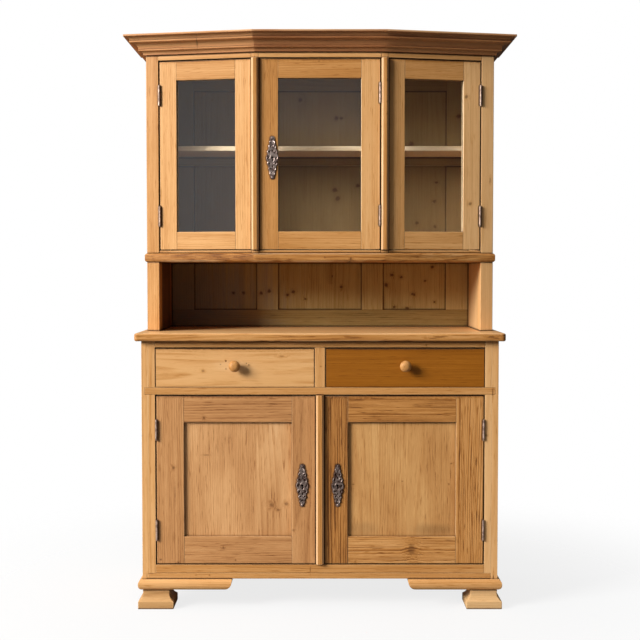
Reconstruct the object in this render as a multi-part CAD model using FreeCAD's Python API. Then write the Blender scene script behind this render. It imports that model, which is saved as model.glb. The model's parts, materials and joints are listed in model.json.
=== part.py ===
import FreeCAD, Part
import math
import os

Vector = FreeCAD.Vector

# Hutch in millimetres: a canted glazed vitrine and an open niche over a base with drawers and doors.
# +Z is up, the front faces -Y, and the origin is on the floor at the middle of the bounding box.

# Base: widths and depths
BASE_WIDTH = 1168.0
BASE_DEPTH = 468.0
SIDE_THICKNESS = 22.0
STILE_WIDTH = 22.0
STILE_DEPTH = 26.0
RAIL_DEPTH = 24.0
RAIL_LAP_LENGTH = 34.0
RAIL_LAP_DEPTH = 10.0
DIVIDER_WIDTH = 34.0
BACK_BOARD_COUNT = 5
BACK_BOARD_THICKNESS = 12.0

# Base: heights from the floor up
FOOT_HEIGHT = 62.0
BRACKET_HEIGHT = 36.0
BOTTOM_BOARD_THICKNESS = 19.0
BOTTOM_RAIL_HEIGHT = 28.0
LOWER_OPENING_HEIGHT = 561.0
MIDDLE_RAIL_HEIGHT = 24.0
DRAWER_OPENING_HEIGHT = 131.0
TOP_RAIL_HEIGHT = 21.0
WORKTOP_THICKNESS = 26.0

# Worktop overhangs and rounding
WORKTOP_FRONT_OVERHANG = 25.0
WORKTOP_SIDE_OVERHANG = 20.0
WORKTOP_CORNER_RADIUS = 10.0
WORKTOP_EDGE_RADIUS = 6.0

# Feet and brackets
FOOT_BASE_WIDTH = 117.0
FOOT_NECK_WIDTH = 88.0
FOOT_PLINTH_HEIGHT = 25.0
FOOT_NECK_HEIGHT = 7.0
BRACKET_OVERHANG = 14.0
BRACKET_LENGTH = 308.0
BRACKET_WIDTH = 100.0
BRACKET_NOSE_RADIUS = 16.0
BRACKET_END_RADIUS = 30.0

# Room allowed when an edge is picked by its place
EDGE_TOLERANCE = 1.0

# Vitrine and niche: heights
NICHE_HEIGHT = 232.0
WAIST_THICKNESS = 30.0
SILL_HEIGHT = 9.0
UPPER_OPENING_HEIGHT = 632.0
FRIEZE_HEIGHT = 18.0
TOP_BOARD_THICKNESS = 20.0

# Vitrine and niche: plan
UPPER_SETBACK = 2.0
CORNER_SETBACK = 131.0
BAY_PROJECTION = 72.0
BAY_HALF_WIDTH = 214.0
POST_WIDTH = 42.0
POST_DEPTH = 60.0
REAR_POST_DEPTH = 40.0
UPPER_SIDE_THICKNESS = 22.0
WAIST_OVERHANG = 7.0
WAIST_EDGE_RADIUS = 9.0
UPPER_RAIL_DEPTH = 24.0

# Posts between doors: a narrow front and a wider rear that stops the doors
MULLION_WIDTH = 24.0
CENTRE_POST_WIDTH = 26.0
STOP_WIDTH = 17.0
STOP_DEPTH = 16.0
STRIP_PROUD = 12.0
STRIP_CHAMFER = 6.0
STRIP_END_GAP = 2.0

# Cornice mouldings from the bottom up, as run out and rise
FASCIA_RUN = 8.0
LOW_COVE = (8.0, 12.0)
LOW_LEDGE = 4.0
LOW_BEAD = 6.0
BEAD_LEDGE = 2.0
MAIN_COVE = (20.0, 18.0)
MAIN_LEDGE = 4.0
HIGH_BEAD = 7.0
HIGH_COVE = (14.0, 11.0)
CROWN_LEDGE = 5.0
CROWN_FILLET = 6.0

# Framed back of the niche and vitrine
BACK_FRAME_THICKNESS = 24.0
BACK_INNER_STILE = (152.0, 229.0)
BACK_OUTER_STILE = 124.0
BACK_BOTTOM_RAIL = 61.0
BACK_MIDDLE_RAIL = 50.0
BACK_TOP_RAIL = 69.0
BACK_PANEL_THICKNESS = 10.0
BACK_PANEL_RECESS = 6.0
BACK_GROOVE = 8.0

# Shelves
VITRINE_SHELF_HEIGHT = 350.0
VITRINE_SHELF_THICKNESS = 16.0
VITRINE_SHELF_SETBACK = 70.0
BASE_SHELF_HEIGHT = 300.0
BASE_SHELF_THICKNESS = 20.0
BASE_SHELF_SETBACK = 70.0
CLEAT_SIZE = 18.0
REAR_CLEAT_HEIGHT = 30.0

# Doors
DOOR_THICKNESS = 22.0
DOOR_RECESS = 2.0
HINGE_GAP = 4.0
FREE_GAP = 2.0
TOP_GAP = 4.0
BOTTOM_GAP = 3.0
STOP_GAP = 0.5
TENON_LENGTH = 26.0
TENON_THICKNESS = 8.0
TENON_SHOULDER = 10.0
SIDE_DOOR_HINGE_STILE = 58.0
SIDE_DOOR_FREE_STILE = 54.0
MIDDLE_DOOR_STILE = 62.0
UPPER_TOP_RAIL = 63.0
UPPER_BOTTOM_RAIL = 59.0
LOWER_HINGE_STILE = 90.0
LOWER_FREE_STILE = 77.0
LOWER_TOP_RAIL = 87.0
LOWER_BOTTOM_RAIL = 90.0
GLASS_THICKNESS = 3.0
REBATE_WIDTH = 8.0
REBATE_LIP = 9.0
GLASS_PLAY = 0.5
PANEL_THICKNESS = 9.0
PANEL_RECESS = 9.0
PANEL_GROOVE = 10.0
PANEL_PLAY = 1.0

# Butt hinges
HINGE_LENGTH = 63.0
HINGE_INSET = 80.0
LEAF_THICKNESS = 1.6
LEAF_DEPTH = 18.0
KNUCKLE_RADIUS = 3.6
KNUCKLE_FORWARD = 3.4
KNUCKLE_GAP = 0.4
PIN_RADIUS = 1.5
PIN_CLEARANCE = 0.05
PIN_TIP_RADIUS = 2.8
PIN_TIP_HEIGHT = 3.0

# Locks and escutcheons
ESCUTCHEON_FROM_EDGE = 43.0
ESCUTCHEON_THICKNESS = 3.0
ESCUTCHEON_DISCS = ((0.0, 17.0), (21.0, 19.5), (42.0, 13.0), (60.0, 9.5))
UPPER_LOCK_HEIGHT = 304.0
LOWER_LOCK_HEIGHT = 262.0
KEYHOLE_RADIUS = 3.0
KEYHOLE_SLOT_WIDTH = 3.0
KEYHOLE_SLOT_LENGTH = 11.0
LOCK_LENGTH = 36.0
LOCK_HEIGHT = 70.0
LOCK_DEPTH = 12.0
LOCK_WALL = 2.5
BOLT_HEIGHT = 18.0
BOLT_LENGTH = 26.0
BOLT_TRAVEL = 8.0
BOLT_CLEARANCE = 0.4

# Drawers
DRAWER_FRONT_THICKNESS = 22.0
DRAWER_SIDE_GAP = 2.0
DRAWER_TOP_GAP = 4.0
DRAWER_RUNNING_GAP = 0.3
DRAWER_BACK_GAP = 36.0
DRAWER_WALL = 12.0
DRAWER_WALL_HEIGHT = 104.0
DRAWER_BOTTOM_THICKNESS = 7.0
DRAWER_BOTTOM_RISE = 8.0
DRAWER_GROOVE = 6.0
RUNNER_HEIGHT = 20.0
RUNNER_WIDTH = 24.0
GUIDE_HEIGHT = 30.0

# Turned knobs
KNOB_LENGTH = 34.0
KNOB_RADIUS = 18.5
KNOB_NECK_RADIUS = 9.0
KNOB_FOOT_RADIUS = 12.0
KNOB_FOOT_LENGTH = 4.0
KNOB_NECK_LENGTH = 10.0
KNOB_TENON_RADIUS = 6.0
KNOB_TIP_RADIUS = 4.0
KNOB_SWELL = 2.0
KNOB_FIT = 0.05
KNOB_RISE = 7.0

# Levels from the floor up
bracket_z = FOOT_HEIGHT
bottom_z = bracket_z + BRACKET_HEIGHT
bottom_rail_z = bottom_z + BOTTOM_BOARD_THICKNESS
lower_opening_z = bottom_rail_z + BOTTOM_RAIL_HEIGHT
middle_rail_z = lower_opening_z + LOWER_OPENING_HEIGHT
drawer_z = middle_rail_z + MIDDLE_RAIL_HEIGHT
top_rail_z = drawer_z + DRAWER_OPENING_HEIGHT
worktop_z = top_rail_z + TOP_RAIL_HEIGHT
niche_z = worktop_z + WORKTOP_THICKNESS
waist_z = niche_z + NICHE_HEIGHT
sill_z = waist_z + WAIST_THICKNESS
upper_opening_z = sill_z + SILL_HEIGHT
frieze_z = upper_opening_z + UPPER_OPENING_HEIGHT
cornice_z = frieze_z + FRIEZE_HEIGHT
cornice_height = (LOW_COVE[1] + LOW_BEAD + MAIN_COVE[1] + HIGH_BEAD + HIGH_COVE[1] + CROWN_FILLET)
cornice_run = (FASCIA_RUN + LOW_COVE[0] + LOW_LEDGE + BEAD_LEDGE + MAIN_COVE[0] + MAIN_LEDGE
               + BEAD_LEDGE + HIGH_COVE[0] + CROWN_LEDGE)

# Depths: the knobs reach furthest forward, and the backs share one plane
front_reach = max(KNOB_LENGTH - DOOR_RECESS, WORKTOP_FRONT_OVERHANG)
total_depth = front_reach + BASE_DEPTH
rear_y = total_depth / 2
front_y = rear_y - BASE_DEPTH
back_frame_y = rear_y - BACK_FRAME_THICKNESS
base_back_y = rear_y - BACK_BOARD_THICKNESS
corner_y = front_y + CORNER_SETBACK
bay_y = corner_y - BAY_PROJECTION
door_back = DOOR_RECESS + DOOR_THICKNESS
stop_front = door_back + STOP_GAP
stop_back = stop_front + STOP_DEPTH

# Half widths
base_half = BASE_WIDTH / 2
side_inner = base_half - SIDE_THICKNESS
stile_inner = side_inner - STILE_WIDTH
upper_half = base_half - UPPER_SETBACK
post_inner = upper_half - POST_WIDTH

parts = {}


def add(name, *solids):
    parts.setdefault(name, []).extend(solids)


def box(x0, x1, y0, y1, z0, z1):
    return Part.makeBox(x1 - x0, y1 - y0, z1 - z0, Vector(x0, y0, z0))


def prism(points, z0, z1):
    corners = [Vector(x, y, z0) for x, y in points]
    wire = Part.makePolygon(corners + corners[:1])
    return Part.Face(wire).extrude(Vector(0, 0, z1 - z0))


def mirrored(shape):
    return shape.mirror(Vector(0, 0, 0), Vector(1, 0, 0))


def both_sides(name, shape):
    add(name, shape, mirrored(shape))


def cylinder(radius, base, direction, length):
    return Part.makeCylinder(radius, length, base, direction)


class Opening:
    """A door opening in plan: an origin at its left jamb, a turn about Z and a width."""

    def __init__(self, origin, angle, width):
        self.origin = Vector(origin[0], origin[1], 0)
        self.angle = angle
        self.width = width

    def place(self, shape):
        turned = shape.copy()
        turned.rotate(Vector(0, 0, 0), Vector(0, 0, 1), self.angle)
        turned.translate(self.origin)
        return turned

    def point(self, along, depth):
        turn = math.radians(self.angle)
        x = self.origin.x + along * math.cos(turn) - depth * math.sin(turn)
        y = self.origin.y + along * math.sin(turn) + depth * math.cos(turn)
        return x, y


# Canted front: S is a corner of the case, M a corner of the bay
cant = math.atan2(BAY_PROJECTION, upper_half - BAY_HALF_WIDTH)
cant_length = math.hypot(BAY_PROJECTION, upper_half - BAY_HALF_WIDTH)
post_run = POST_WIDTH / math.cos(cant)
half_mullion = MULLION_WIDTH / 2
left_face = Opening((-upper_half, corner_y), -math.degrees(cant), cant_length)
middle_face = Opening((-BAY_HALF_WIDTH, bay_y), 0.0, 2 * BAY_HALF_WIDTH)
left_opening = Opening(left_face.point(post_run, 0), left_face.angle, cant_length - post_run - half_mullion)
middle_opening = Opening(middle_face.point(half_mullion, 0), 0.0, 2 * BAY_HALF_WIDTH - MULLION_WIDTH)
right_start = left_face.point(cant_length - half_mullion, 0)
right_opening = Opening((-right_start[0], right_start[1]), -left_face.angle, left_opening.width)
half_centre_post = CENTRE_POST_WIDTH / 2
lower_left_opening = Opening((-stile_inner, front_y), 0.0, stile_inner - half_centre_post)
lower_right_opening = Opening((half_centre_post, front_y), 0.0, stile_inner - half_centre_post)


def outline(offset, rear):
    """The case's plan, set out by an offset at the front and sides."""
    half_turn = math.tan(cant / 2)
    corner_shift = offset * (1 - math.sin(cant)) / math.cos(cant)
    left = [(-upper_half - offset, rear),
            (-upper_half - offset, corner_y - corner_shift),
            (-BAY_HALF_WIDTH - offset * half_turn, bay_y - offset)]
    return left + [(-x, y) for x, y in reversed(left)]


# Feet: a block with a plinth, a hollow flare and a neck, the same on all four sides
def foot_profile():
    base = FOOT_BASE_WIDTH / 2
    neck = FOOT_NECK_WIDTH / 2
    flare_z = FOOT_HEIGHT - FOOT_NECK_HEIGHT
    middle = Vector(neck + (base - neck) * (1 - math.sqrt(0.5)), 0,
                    FOOT_PLINTH_HEIGHT + (flare_z - FOOT_PLINTH_HEIGHT) * (1 - math.sqrt(0.5)))
    right = [Part.LineSegment(Vector(base, 0, 0), Vector(base, 0, FOOT_PLINTH_HEIGHT)),
             Part.Arc(Vector(base, 0, FOOT_PLINTH_HEIGHT), middle, Vector(neck, 0, flare_z)),
             Part.LineSegment(Vector(neck, 0, flare_z), Vector(neck, 0, FOOT_HEIGHT))]
    edges = [curve.toShape() for curve in right]
    left = [edge.mirror(Vector(0, 0, 0), Vector(1, 0, 0)) for edge in edges]
    top = Part.makeLine(Vector(neck, 0, FOOT_HEIGHT), Vector(-neck, 0, FOOT_HEIGHT))
    bottom = Part.makeLine(Vector(-base, 0, 0), Vector(base, 0, 0))
    return Part.Face(Part.Wire(Part.__sortEdges__(edges + left + [top, bottom])))


def foot(x, y):
    half = FOOT_BASE_WIDTH / 2
    across = foot_profile()
    across.translate(Vector(0, -half, 0))
    along = foot_profile()
    along.rotate(Vector(0, 0, 0), Vector(0, 0, 1), 90)
    along.translate(Vector(-half, 0, 0))
    block = across.extrude(Vector(0, 2 * half, 0)).common(along.extrude(Vector(2 * half, 0, 0)))
    block.translate(Vector(x, y, 0))
    return block


foot_x = base_half + BRACKET_OVERHANG - FOOT_BASE_WIDTH / 2
front_foot_y = front_y - BRACKET_OVERHANG + FOOT_BASE_WIDTH / 2
rear_foot_y = rear_y - FOOT_BASE_WIDTH / 2
for foot_y in (front_foot_y, rear_foot_y):
    both_sides("feet", foot(-foot_x, foot_y))


# Foot brackets: bullnose boards under the front corners, sawn round at one end, and their side returns
def nosed(board, keep):
    """Round the long horizontal edges that the test keep names."""
    edges = [edge for edge in board.Edges if keep(edge)]
    return board.makeFillet(BRACKET_NOSE_RADIUS, edges)


def level(edge):
    return edge.BoundBox.ZLength < edge.Length / 2


bracket_x = base_half + BRACKET_OVERHANG
bracket_y = front_y - BRACKET_OVERHANG
front_bracket = box(-bracket_x, -bracket_x + BRACKET_LENGTH, bracket_y, bracket_y + BRACKET_WIDTH,
                    bracket_z, bottom_z)
return_bracket = box(-bracket_x, -bracket_x + BRACKET_WIDTH, bracket_y + BRACKET_WIDTH, rear_y,
                     bracket_z, bottom_z)


def on_front(edge):
    return edge.CenterOfMass.y < bracket_y + EDGE_TOLERANCE


def on_side(edge):
    return edge.CenterOfMass.x < -bracket_x + EDGE_TOLERANCE


def on_end_below(edge):
    return (edge.CenterOfMass.x > -bracket_x + BRACKET_LENGTH - EDGE_TOLERANCE
            and edge.CenterOfMass.z < bracket_z + EDGE_TOLERANCE)


end_edges = [edge for edge in front_bracket.Edges if on_end_below(edge)]
sawn_end = front_bracket.makeFillet(BRACKET_END_RADIUS, end_edges)
nosed_front = nosed(front_bracket, lambda edge: level(edge) and (on_front(edge) or on_side(edge)))
both_sides("foot_brackets", nosed_front.common(sawn_end))
both_sides("foot_brackets", nosed(return_bracket, lambda edge: level(edge) and on_side(edge)))

# Base case
add("base_bottom_board", box(-side_inner, side_inner, front_y, base_back_y, bottom_z, bottom_rail_z))
rail_back = front_y + RAIL_DEPTH
top_rail = box(-stile_inner, stile_inner, front_y, rail_back, top_rail_z, worktop_z)
middle_rail = box(-stile_inner, stile_inner, front_y, rail_back, middle_rail_z, drawer_z)
bottom_rail = box(-stile_inner, stile_inner, front_y, rail_back, bottom_rail_z, lower_opening_z)
lap = box(-stile_inner - RAIL_LAP_LENGTH, -stile_inner, front_y, front_y + RAIL_LAP_DEPTH,
          middle_rail_z, drawer_z)
middle_rail = middle_rail.fuse([lap, mirrored(lap)]).removeSplitter()
base_side = box(-base_half, -side_inner, front_y, rear_y, bottom_z, worktop_z)
base_stile = box(-side_inner, -stile_inner, front_y, front_y + STILE_DEPTH, bottom_rail_z, worktop_z)
both_sides("base_sides", base_side.cut(lap))
both_sides("base_stiles", base_stile.cut(lap))
add("base_rails", top_rail, middle_rail, bottom_rail)
half_divider = DIVIDER_WIDTH / 2
add("drawer_divider", box(-half_divider, half_divider, front_y, rail_back, drawer_z, top_rail_z))
board_width = 2 * side_inner / BACK_BOARD_COUNT
for index in range(BACK_BOARD_COUNT):
    board_x = -side_inner + index * board_width
    add("base_back_boards", box(board_x, board_x + board_width, base_back_y, rear_y, bottom_z, worktop_z))

# Worktop with rounded front corners and edges
top_half = base_half + WORKTOP_SIDE_OVERHANG
worktop = box(-top_half, top_half, front_y - WORKTOP_FRONT_OVERHANG, rear_y, worktop_z, niche_z)
front_corners = [edge for edge in worktop.Edges
                 if not level(edge) and edge.CenterOfMass.y < front_y]
worktop = worktop.makeFillet(WORKTOP_CORNER_RADIUS, front_corners)
worktop_rim = [edge for edge in worktop.Edges
               if level(edge) and edge.CenterOfMass.y < rear_y - EDGE_TOLERANCE]
add("worktop", worktop.makeFillet(WORKTOP_EDGE_RADIUS, worktop_rim))


# Posts between doors, rebated so that a wider rear part stops both doors
def lock_mortise(opening, side, height):
    """The room for a thrown bolt in the stop beside an opening, on its left or right jamb."""
    bolt_half = BOLT_HEIGHT / 2 + BOLT_CLEARANCE
    deep = door_back + LOCK_WALL - BOLT_CLEARANCE
    reach = BOLT_TRAVEL + 2 * BOLT_CLEARANCE
    stop_edge = STOP_WIDTH
    start = stop_edge - reach if side == "left" else opening.width - stop_edge
    return opening.place(box(start, start + reach, deep, door_back + LOCK_DEPTH - LOCK_WALL + BOLT_CLEARANCE,
                             height - bolt_half, height + bolt_half))


upper_lock_z = upper_opening_z + UPPER_LOCK_HEIGHT
lower_lock_z = lower_opening_z + LOWER_LOCK_HEIGHT


def left_mullion():
    narrow = half_mullion
    wide = half_mullion + STOP_WIDTH
    run = cant_length
    corner = (-BAY_HALF_WIDTH, bay_y)
    front = [left_face.point(run - narrow, 0), corner, middle_face.point(narrow, 0),
             middle_face.point(narrow, stop_front), left_face.point(run - narrow, stop_front)]
    inner_corner = (-BAY_HALF_WIDTH + stop_front * math.tan(cant / 2), bay_y + stop_front)
    rear = [left_face.point(run - wide, stop_front), inner_corner, middle_face.point(wide, stop_front),
            middle_face.point(wide, stop_back), left_face.point(run - wide, stop_back)]
    return prism(front, sill_z, cornice_z).fuse(prism(rear, sill_z, cornice_z)).removeSplitter()


mullion = left_mullion()
add("mullions", mullion.cut(lock_mortise(middle_opening, "left", upper_lock_z)), mirrored(mullion))
post_stop = half_centre_post + STOP_WIDTH
centre_post = prism([(-half_centre_post, front_y), (half_centre_post, front_y),
                     (half_centre_post, front_y + stop_front), (post_stop, front_y + stop_front),
                     (post_stop, front_y + stop_back), (-post_stop, front_y + stop_back),
                     (-post_stop, front_y + stop_front), (-half_centre_post, front_y + stop_front)],
                    lower_opening_z, middle_rail_z)
centre_post = centre_post.cut([lock_mortise(lower_left_opening, "right", lower_lock_z),
                               lock_mortise(lower_right_opening, "left", lower_lock_z)])
add("base_centre_post", centre_post)


# Cover strips nailed on the fronts of the posts, chamfered on both front edges
def strip_front(half, front):
    return [(half, front), (half, front - STRIP_PROUD + STRIP_CHAMFER),
            (half - STRIP_CHAMFER, front - STRIP_PROUD), (STRIP_CHAMFER - half, front - STRIP_PROUD),
            (-half, front - STRIP_PROUD + STRIP_CHAMFER), (-half, front)]


add("cover_strips", prism(strip_front(half_centre_post, front_y), lower_opening_z + STRIP_END_GAP,
                          middle_rail_z - STRIP_END_GAP))
strip_back = left_face.point(cant_length - half_mullion, 0)
bay_strip = [(x - BAY_HALF_WIDTH, y) for x, y in strip_front(half_mullion, bay_y)]
bay_strip = bay_strip[:-1] + [strip_back, (-BAY_HALF_WIDTH, bay_y)]
both_sides("cover_strips", prism(bay_strip, upper_opening_z + STRIP_END_GAP, frieze_z - STRIP_END_GAP))

# Corner posts, side boards and the waist board
post_back = corner_y + POST_DEPTH
jamb = left_face.point(post_run, 0)
jamb_back = left_face.point(post_run, (post_back - jamb[1]) / math.cos(cant))
case_corner = (-upper_half, corner_y)
both_sides("upper_posts", prism([case_corner, jamb, (jamb[0], post_back), (-upper_half, post_back)],
                                niche_z, waist_z))
both_sides("upper_posts", prism([case_corner, jamb, jamb_back, (-upper_half, post_back)], sill_z, cornice_z))
rear_post_y = back_frame_y - REAR_POST_DEPTH
for low, high in ((niche_z, waist_z), (sill_z, cornice_z)):
    both_sides("upper_posts", box(-upper_half, -post_inner, rear_post_y, back_frame_y, low, high))
    both_sides("upper_side_boards", box(-post_inner - UPPER_SIDE_THICKNESS, -post_inner,
                                        post_back, rear_post_y, low, high))
waist = prism(outline(WAIST_OVERHANG, back_frame_y), waist_z, sill_z)
waist_rim = [edge for edge in waist.Edges
             if level(edge) and edge.CenterOfMass.y < back_frame_y - EDGE_TOLERANCE]
add("waist_board", waist.makeFillet(WAIST_EDGE_RADIUS, waist_rim))

# Rails of the vitrine's front: a sill under each door and a frieze over it
for opening in (left_opening, middle_opening, right_opening):
    sill = box(0, opening.width, DOOR_RECESS, stop_front, sill_z, upper_opening_z)
    frieze = box(0, opening.width, 0, UPPER_RAIL_DEPTH, frieze_z, cornice_z)
    add("upper_rails", opening.place(sill), opening.place(frieze))

# Top board and shelves
add("vitrine_top_board", prism(outline(0, back_frame_y), cornice_z, cornice_z + TOP_BOARD_THICKNESS))
vitrine_shelf_z = sill_z + VITRINE_SHELF_HEIGHT
vitrine_shelf_y = corner_y + VITRINE_SHELF_SETBACK
add("vitrine_shelf", box(-post_inner, post_inner, vitrine_shelf_y, back_frame_y,
                         vitrine_shelf_z, vitrine_shelf_z + VITRINE_SHELF_THICKNESS))
both_sides("shelf_cleats", box(-post_inner, -post_inner + CLEAT_SIZE, vitrine_shelf_y, back_frame_y,
                               vitrine_shelf_z - CLEAT_SIZE, vitrine_shelf_z))
add("shelf_cleats", box(-post_inner + CLEAT_SIZE, post_inner - CLEAT_SIZE, back_frame_y - CLEAT_SIZE,
                        back_frame_y, vitrine_shelf_z - REAR_CLEAT_HEIGHT, vitrine_shelf_z))
base_shelf_z = bottom_rail_z + BASE_SHELF_HEIGHT
base_shelf_y = front_y + BASE_SHELF_SETBACK
add("base_shelf", box(-side_inner, side_inner, base_shelf_y, base_back_y,
                      base_shelf_z, base_shelf_z + BASE_SHELF_THICKNESS))
both_sides("shelf_cleats", box(-side_inner, -side_inner + CLEAT_SIZE, base_shelf_y, base_back_y,
                               base_shelf_z - CLEAT_SIZE, base_shelf_z))
add("shelf_cleats", box(-side_inner + CLEAT_SIZE, side_inner - CLEAT_SIZE, base_back_y - CLEAT_SIZE,
                        base_back_y, base_shelf_z - CLEAT_SIZE, base_shelf_z))


# Cornice: coves, beads and fillets, mitred round the canted front
def cornice_profile():
    """The moulding's section: x is the run out from the case, z the height."""
    edges = []
    here = Vector(0, 0, 0)

    def line(run, rise):
        nonlocal here
        there = here + Vector(run, 0, rise)
        edges.append(Part.makeLine(here, there))
        here = there

    def cove(run, rise):
        nonlocal here
        there = here + Vector(run, 0, rise)
        middle = here + Vector(run * (1 - math.sqrt(0.5)), 0, rise * math.sqrt(0.5))
        edges.append(Part.Arc(here, middle, there).toShape())
        here = there

    def bead(rise):
        nonlocal here
        there = here + Vector(0, 0, rise)
        middle = here + Vector(rise / 2, 0, rise / 2)
        edges.append(Part.Arc(here, middle, there).toShape())
        here = there

    line(FASCIA_RUN, 0)
    cove(*LOW_COVE)
    line(LOW_LEDGE, 0)
    bead(LOW_BEAD)
    line(BEAD_LEDGE, 0)
    cove(*MAIN_COVE)
    line(MAIN_LEDGE, 0)
    bead(HIGH_BEAD)
    line(BEAD_LEDGE, 0)
    cove(*HIGH_COVE)
    line(CROWN_LEDGE, 0)
    line(0, CROWN_FILLET)
    line(-cornice_run, 0)
    line(0, -cornice_height)
    return Part.Face(Part.Wire(edges))


def cornice_run_between(inner_a, inner_b, outer_a, outer_b):
    """One length of moulding, cut to its mitres by a prism of its own plan."""
    along = Vector(inner_b[0] - inner_a[0], inner_b[1] - inner_a[1], 0)
    spare = 2 * cornice_run
    angle = math.degrees(math.atan2(along.y, along.x))
    section = cornice_profile()
    section.rotate(Vector(0, 0, 0), Vector(0, 0, 1), angle - 90)
    start = Vector(inner_a[0], inner_a[1], cornice_z) - along * (spare / along.Length)
    section.translate(start)
    length = section.extrude(along * (1 + 2 * spare / along.Length))
    plan = prism([inner_a, inner_b, outer_b, outer_a], cornice_z, cornice_z + cornice_height)
    return length.common(plan)


inner_line = outline(0, rear_y)
outer_line = outline(cornice_run, rear_y)
for index in range(len(inner_line) - 1):
    add("cornice", cornice_run_between(inner_line[index], inner_line[index + 1],
                                       outer_line[index], outer_line[index + 1]))

# Framed back: one long bottom rail, four stiles on it, short rails between them, and panels in grooves
outer_stile_edge = upper_half - BACK_OUTER_STILE
bays = ((-outer_stile_edge, -BACK_INNER_STILE[1]), (-BACK_INNER_STILE[0], BACK_INNER_STILE[0]),
        (BACK_INNER_STILE[1], outer_stile_edge))
rails = ((niche_z, niche_z + BACK_BOTTOM_RAIL), (waist_z, waist_z + BACK_MIDDLE_RAIL),
         (cornice_z - BACK_TOP_RAIL, cornice_z))
panel_front = back_frame_y + BACK_PANEL_RECESS
panel_solids = []
for bay_left, bay_right in bays:
    for below, above in zip(rails, rails[1:]):
        panel_solids.append(box(bay_left - BACK_GROOVE, bay_right + BACK_GROOVE, panel_front,
                                panel_front + BACK_PANEL_THICKNESS, below[1] - BACK_GROOVE,
                                above[0] + BACK_GROOVE))
    for low, high in rails[1:]:
        add("back_rails", box(bay_left, bay_right, back_frame_y, rear_y, low, high))
stile_z = rails[0][1]
add("back_rails", box(-upper_half, upper_half, back_frame_y, rear_y, niche_z, stile_z))
both_sides("back_stiles", box(-upper_half, -outer_stile_edge, back_frame_y, rear_y, stile_z, cornice_z))
both_sides("back_stiles", box(-BACK_INNER_STILE[1], -BACK_INNER_STILE[0], back_frame_y, rear_y,
                              stile_z, cornice_z))
for frame_name in ("back_rails", "back_stiles"):
    parts[frame_name] = [member.cut(panel_solids) for member in parts[frame_name]]
add("back_panels", *panel_solids)


# Hinges: each stands at a door's hinge jamb, in the opening's own frame
def hinge(opening, side, low):
    """The fixed leaf, the pin and the moving leaf of one hinge."""
    inward = 1 if side == "left" else -1
    jamb_x = 0 if side == "left" else opening.width
    door_x = jamb_x + inward * HINGE_GAP
    axis_x = jamb_x + inward * (KNUCKLE_RADIUS + KNUCKLE_GAP)
    axis = Vector(axis_x, -KNUCKLE_FORWARD, low)
    up = Vector(0, 0, 1)
    segment = HINGE_LENGTH / 3
    bore = cylinder(PIN_RADIUS + PIN_CLEARANCE, axis, up, HINGE_LENGTH)

    def knuckle(index, radius, spare):
        start = axis + up * (index * segment + KNUCKLE_GAP / 2 - spare)
        return cylinder(radius, start, up, segment - KNUCKLE_GAP + 2 * spare)

    def leaf(flat_x, outward, own, others):
        low_x = min(flat_x, flat_x + outward * LEAF_THICKNESS)
        plate = box(low_x, low_x + LEAF_THICKNESS, -KNUCKLE_FORWARD, LEAF_DEPTH, low, low + HINGE_LENGTH)
        room = [knuckle(index, KNUCKLE_RADIUS + KNUCKLE_GAP, KNUCKLE_GAP) for index in others]
        plate = plate.cut(room)
        return plate.fuse([knuckle(index, KNUCKLE_RADIUS, 0) for index in own]).cut(bore)

    fixed = leaf(jamb_x, inward, (0, 2), (1,))
    moving = leaf(door_x, -inward, (1,), (0, 2))
    pin = cylinder(PIN_RADIUS, axis, up, HINGE_LENGTH)
    tips = [cylinder(PIN_TIP_RADIUS, axis + up * HINGE_LENGTH, up, PIN_TIP_HEIGHT),
            cylinder(PIN_TIP_RADIUS, axis - up * PIN_TIP_HEIGHT, up, PIN_TIP_HEIGHT)]
    return fixed, pin.fuse(tips).removeSplitter(), moving


def add_hinges(door, opening, side, door_low, door_high):
    for low in (door_low + HINGE_INSET, door_high - HINGE_INSET - HINGE_LENGTH):
        fixed, pin, moving = (opening.place(shape) for shape in hinge(opening, side, low))
        add("fixed_hinge_leaves", fixed)
        add("hinge_pins", pin)
        add(door + "_hinge_leaves", moving)


# Doors: full-height stiles, tenoned rails and an infill, in the opening's own frame
def door_edges(opening, side):
    left_gap, right_gap = (HINGE_GAP, FREE_GAP) if side == "left" else (FREE_GAP, HINGE_GAP)
    return left_gap, opening.width - right_gap


def keyhole(x, z, front, back):
    """A round hole with a slot below it, through everything between front and back."""
    depth = back - front
    round_hole = cylinder(KEYHOLE_RADIUS, Vector(x, front, z), Vector(0, 1, 0), depth)
    slot = box(x - KEYHOLE_SLOT_WIDTH / 2, x + KEYHOLE_SLOT_WIDTH / 2, front, back,
               z - KEYHOLE_SLOT_LENGTH, z)
    return round_hole.fuse(slot)


def frame_members(left, right, low, high, stiles, rail_heights):
    """Two stiles and two rails with hidden tenons, and the clear opening inside them."""
    left_stile = box(left, left + stiles[0], DOOR_RECESS, door_back, low, high)
    right_stile = box(right - stiles[1], right, DOOR_RECESS, door_back, low, high)
    clear = (left + stiles[0], right - stiles[1], low + rail_heights[1], high - rail_heights[0])
    middle = DOOR_RECESS + DOOR_THICKNESS / 2
    members = []
    for rail_low, rail_high in ((low, clear[2]), (clear[3], high)):
        rail = box(clear[0], clear[1], DOOR_RECESS, door_back, rail_low, rail_high)
        tenon = box(clear[0] - TENON_LENGTH, clear[1] + TENON_LENGTH, middle - TENON_THICKNESS / 2,
                    middle + TENON_THICKNESS / 2, rail_low + TENON_SHOULDER, rail_high - TENON_SHOULDER)
        members.append(rail.fuse(tenon).removeSplitter())
    stiles_cut = [stile.cut(members) for stile in (left_stile, right_stile)]
    return stiles_cut + members, clear


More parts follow.
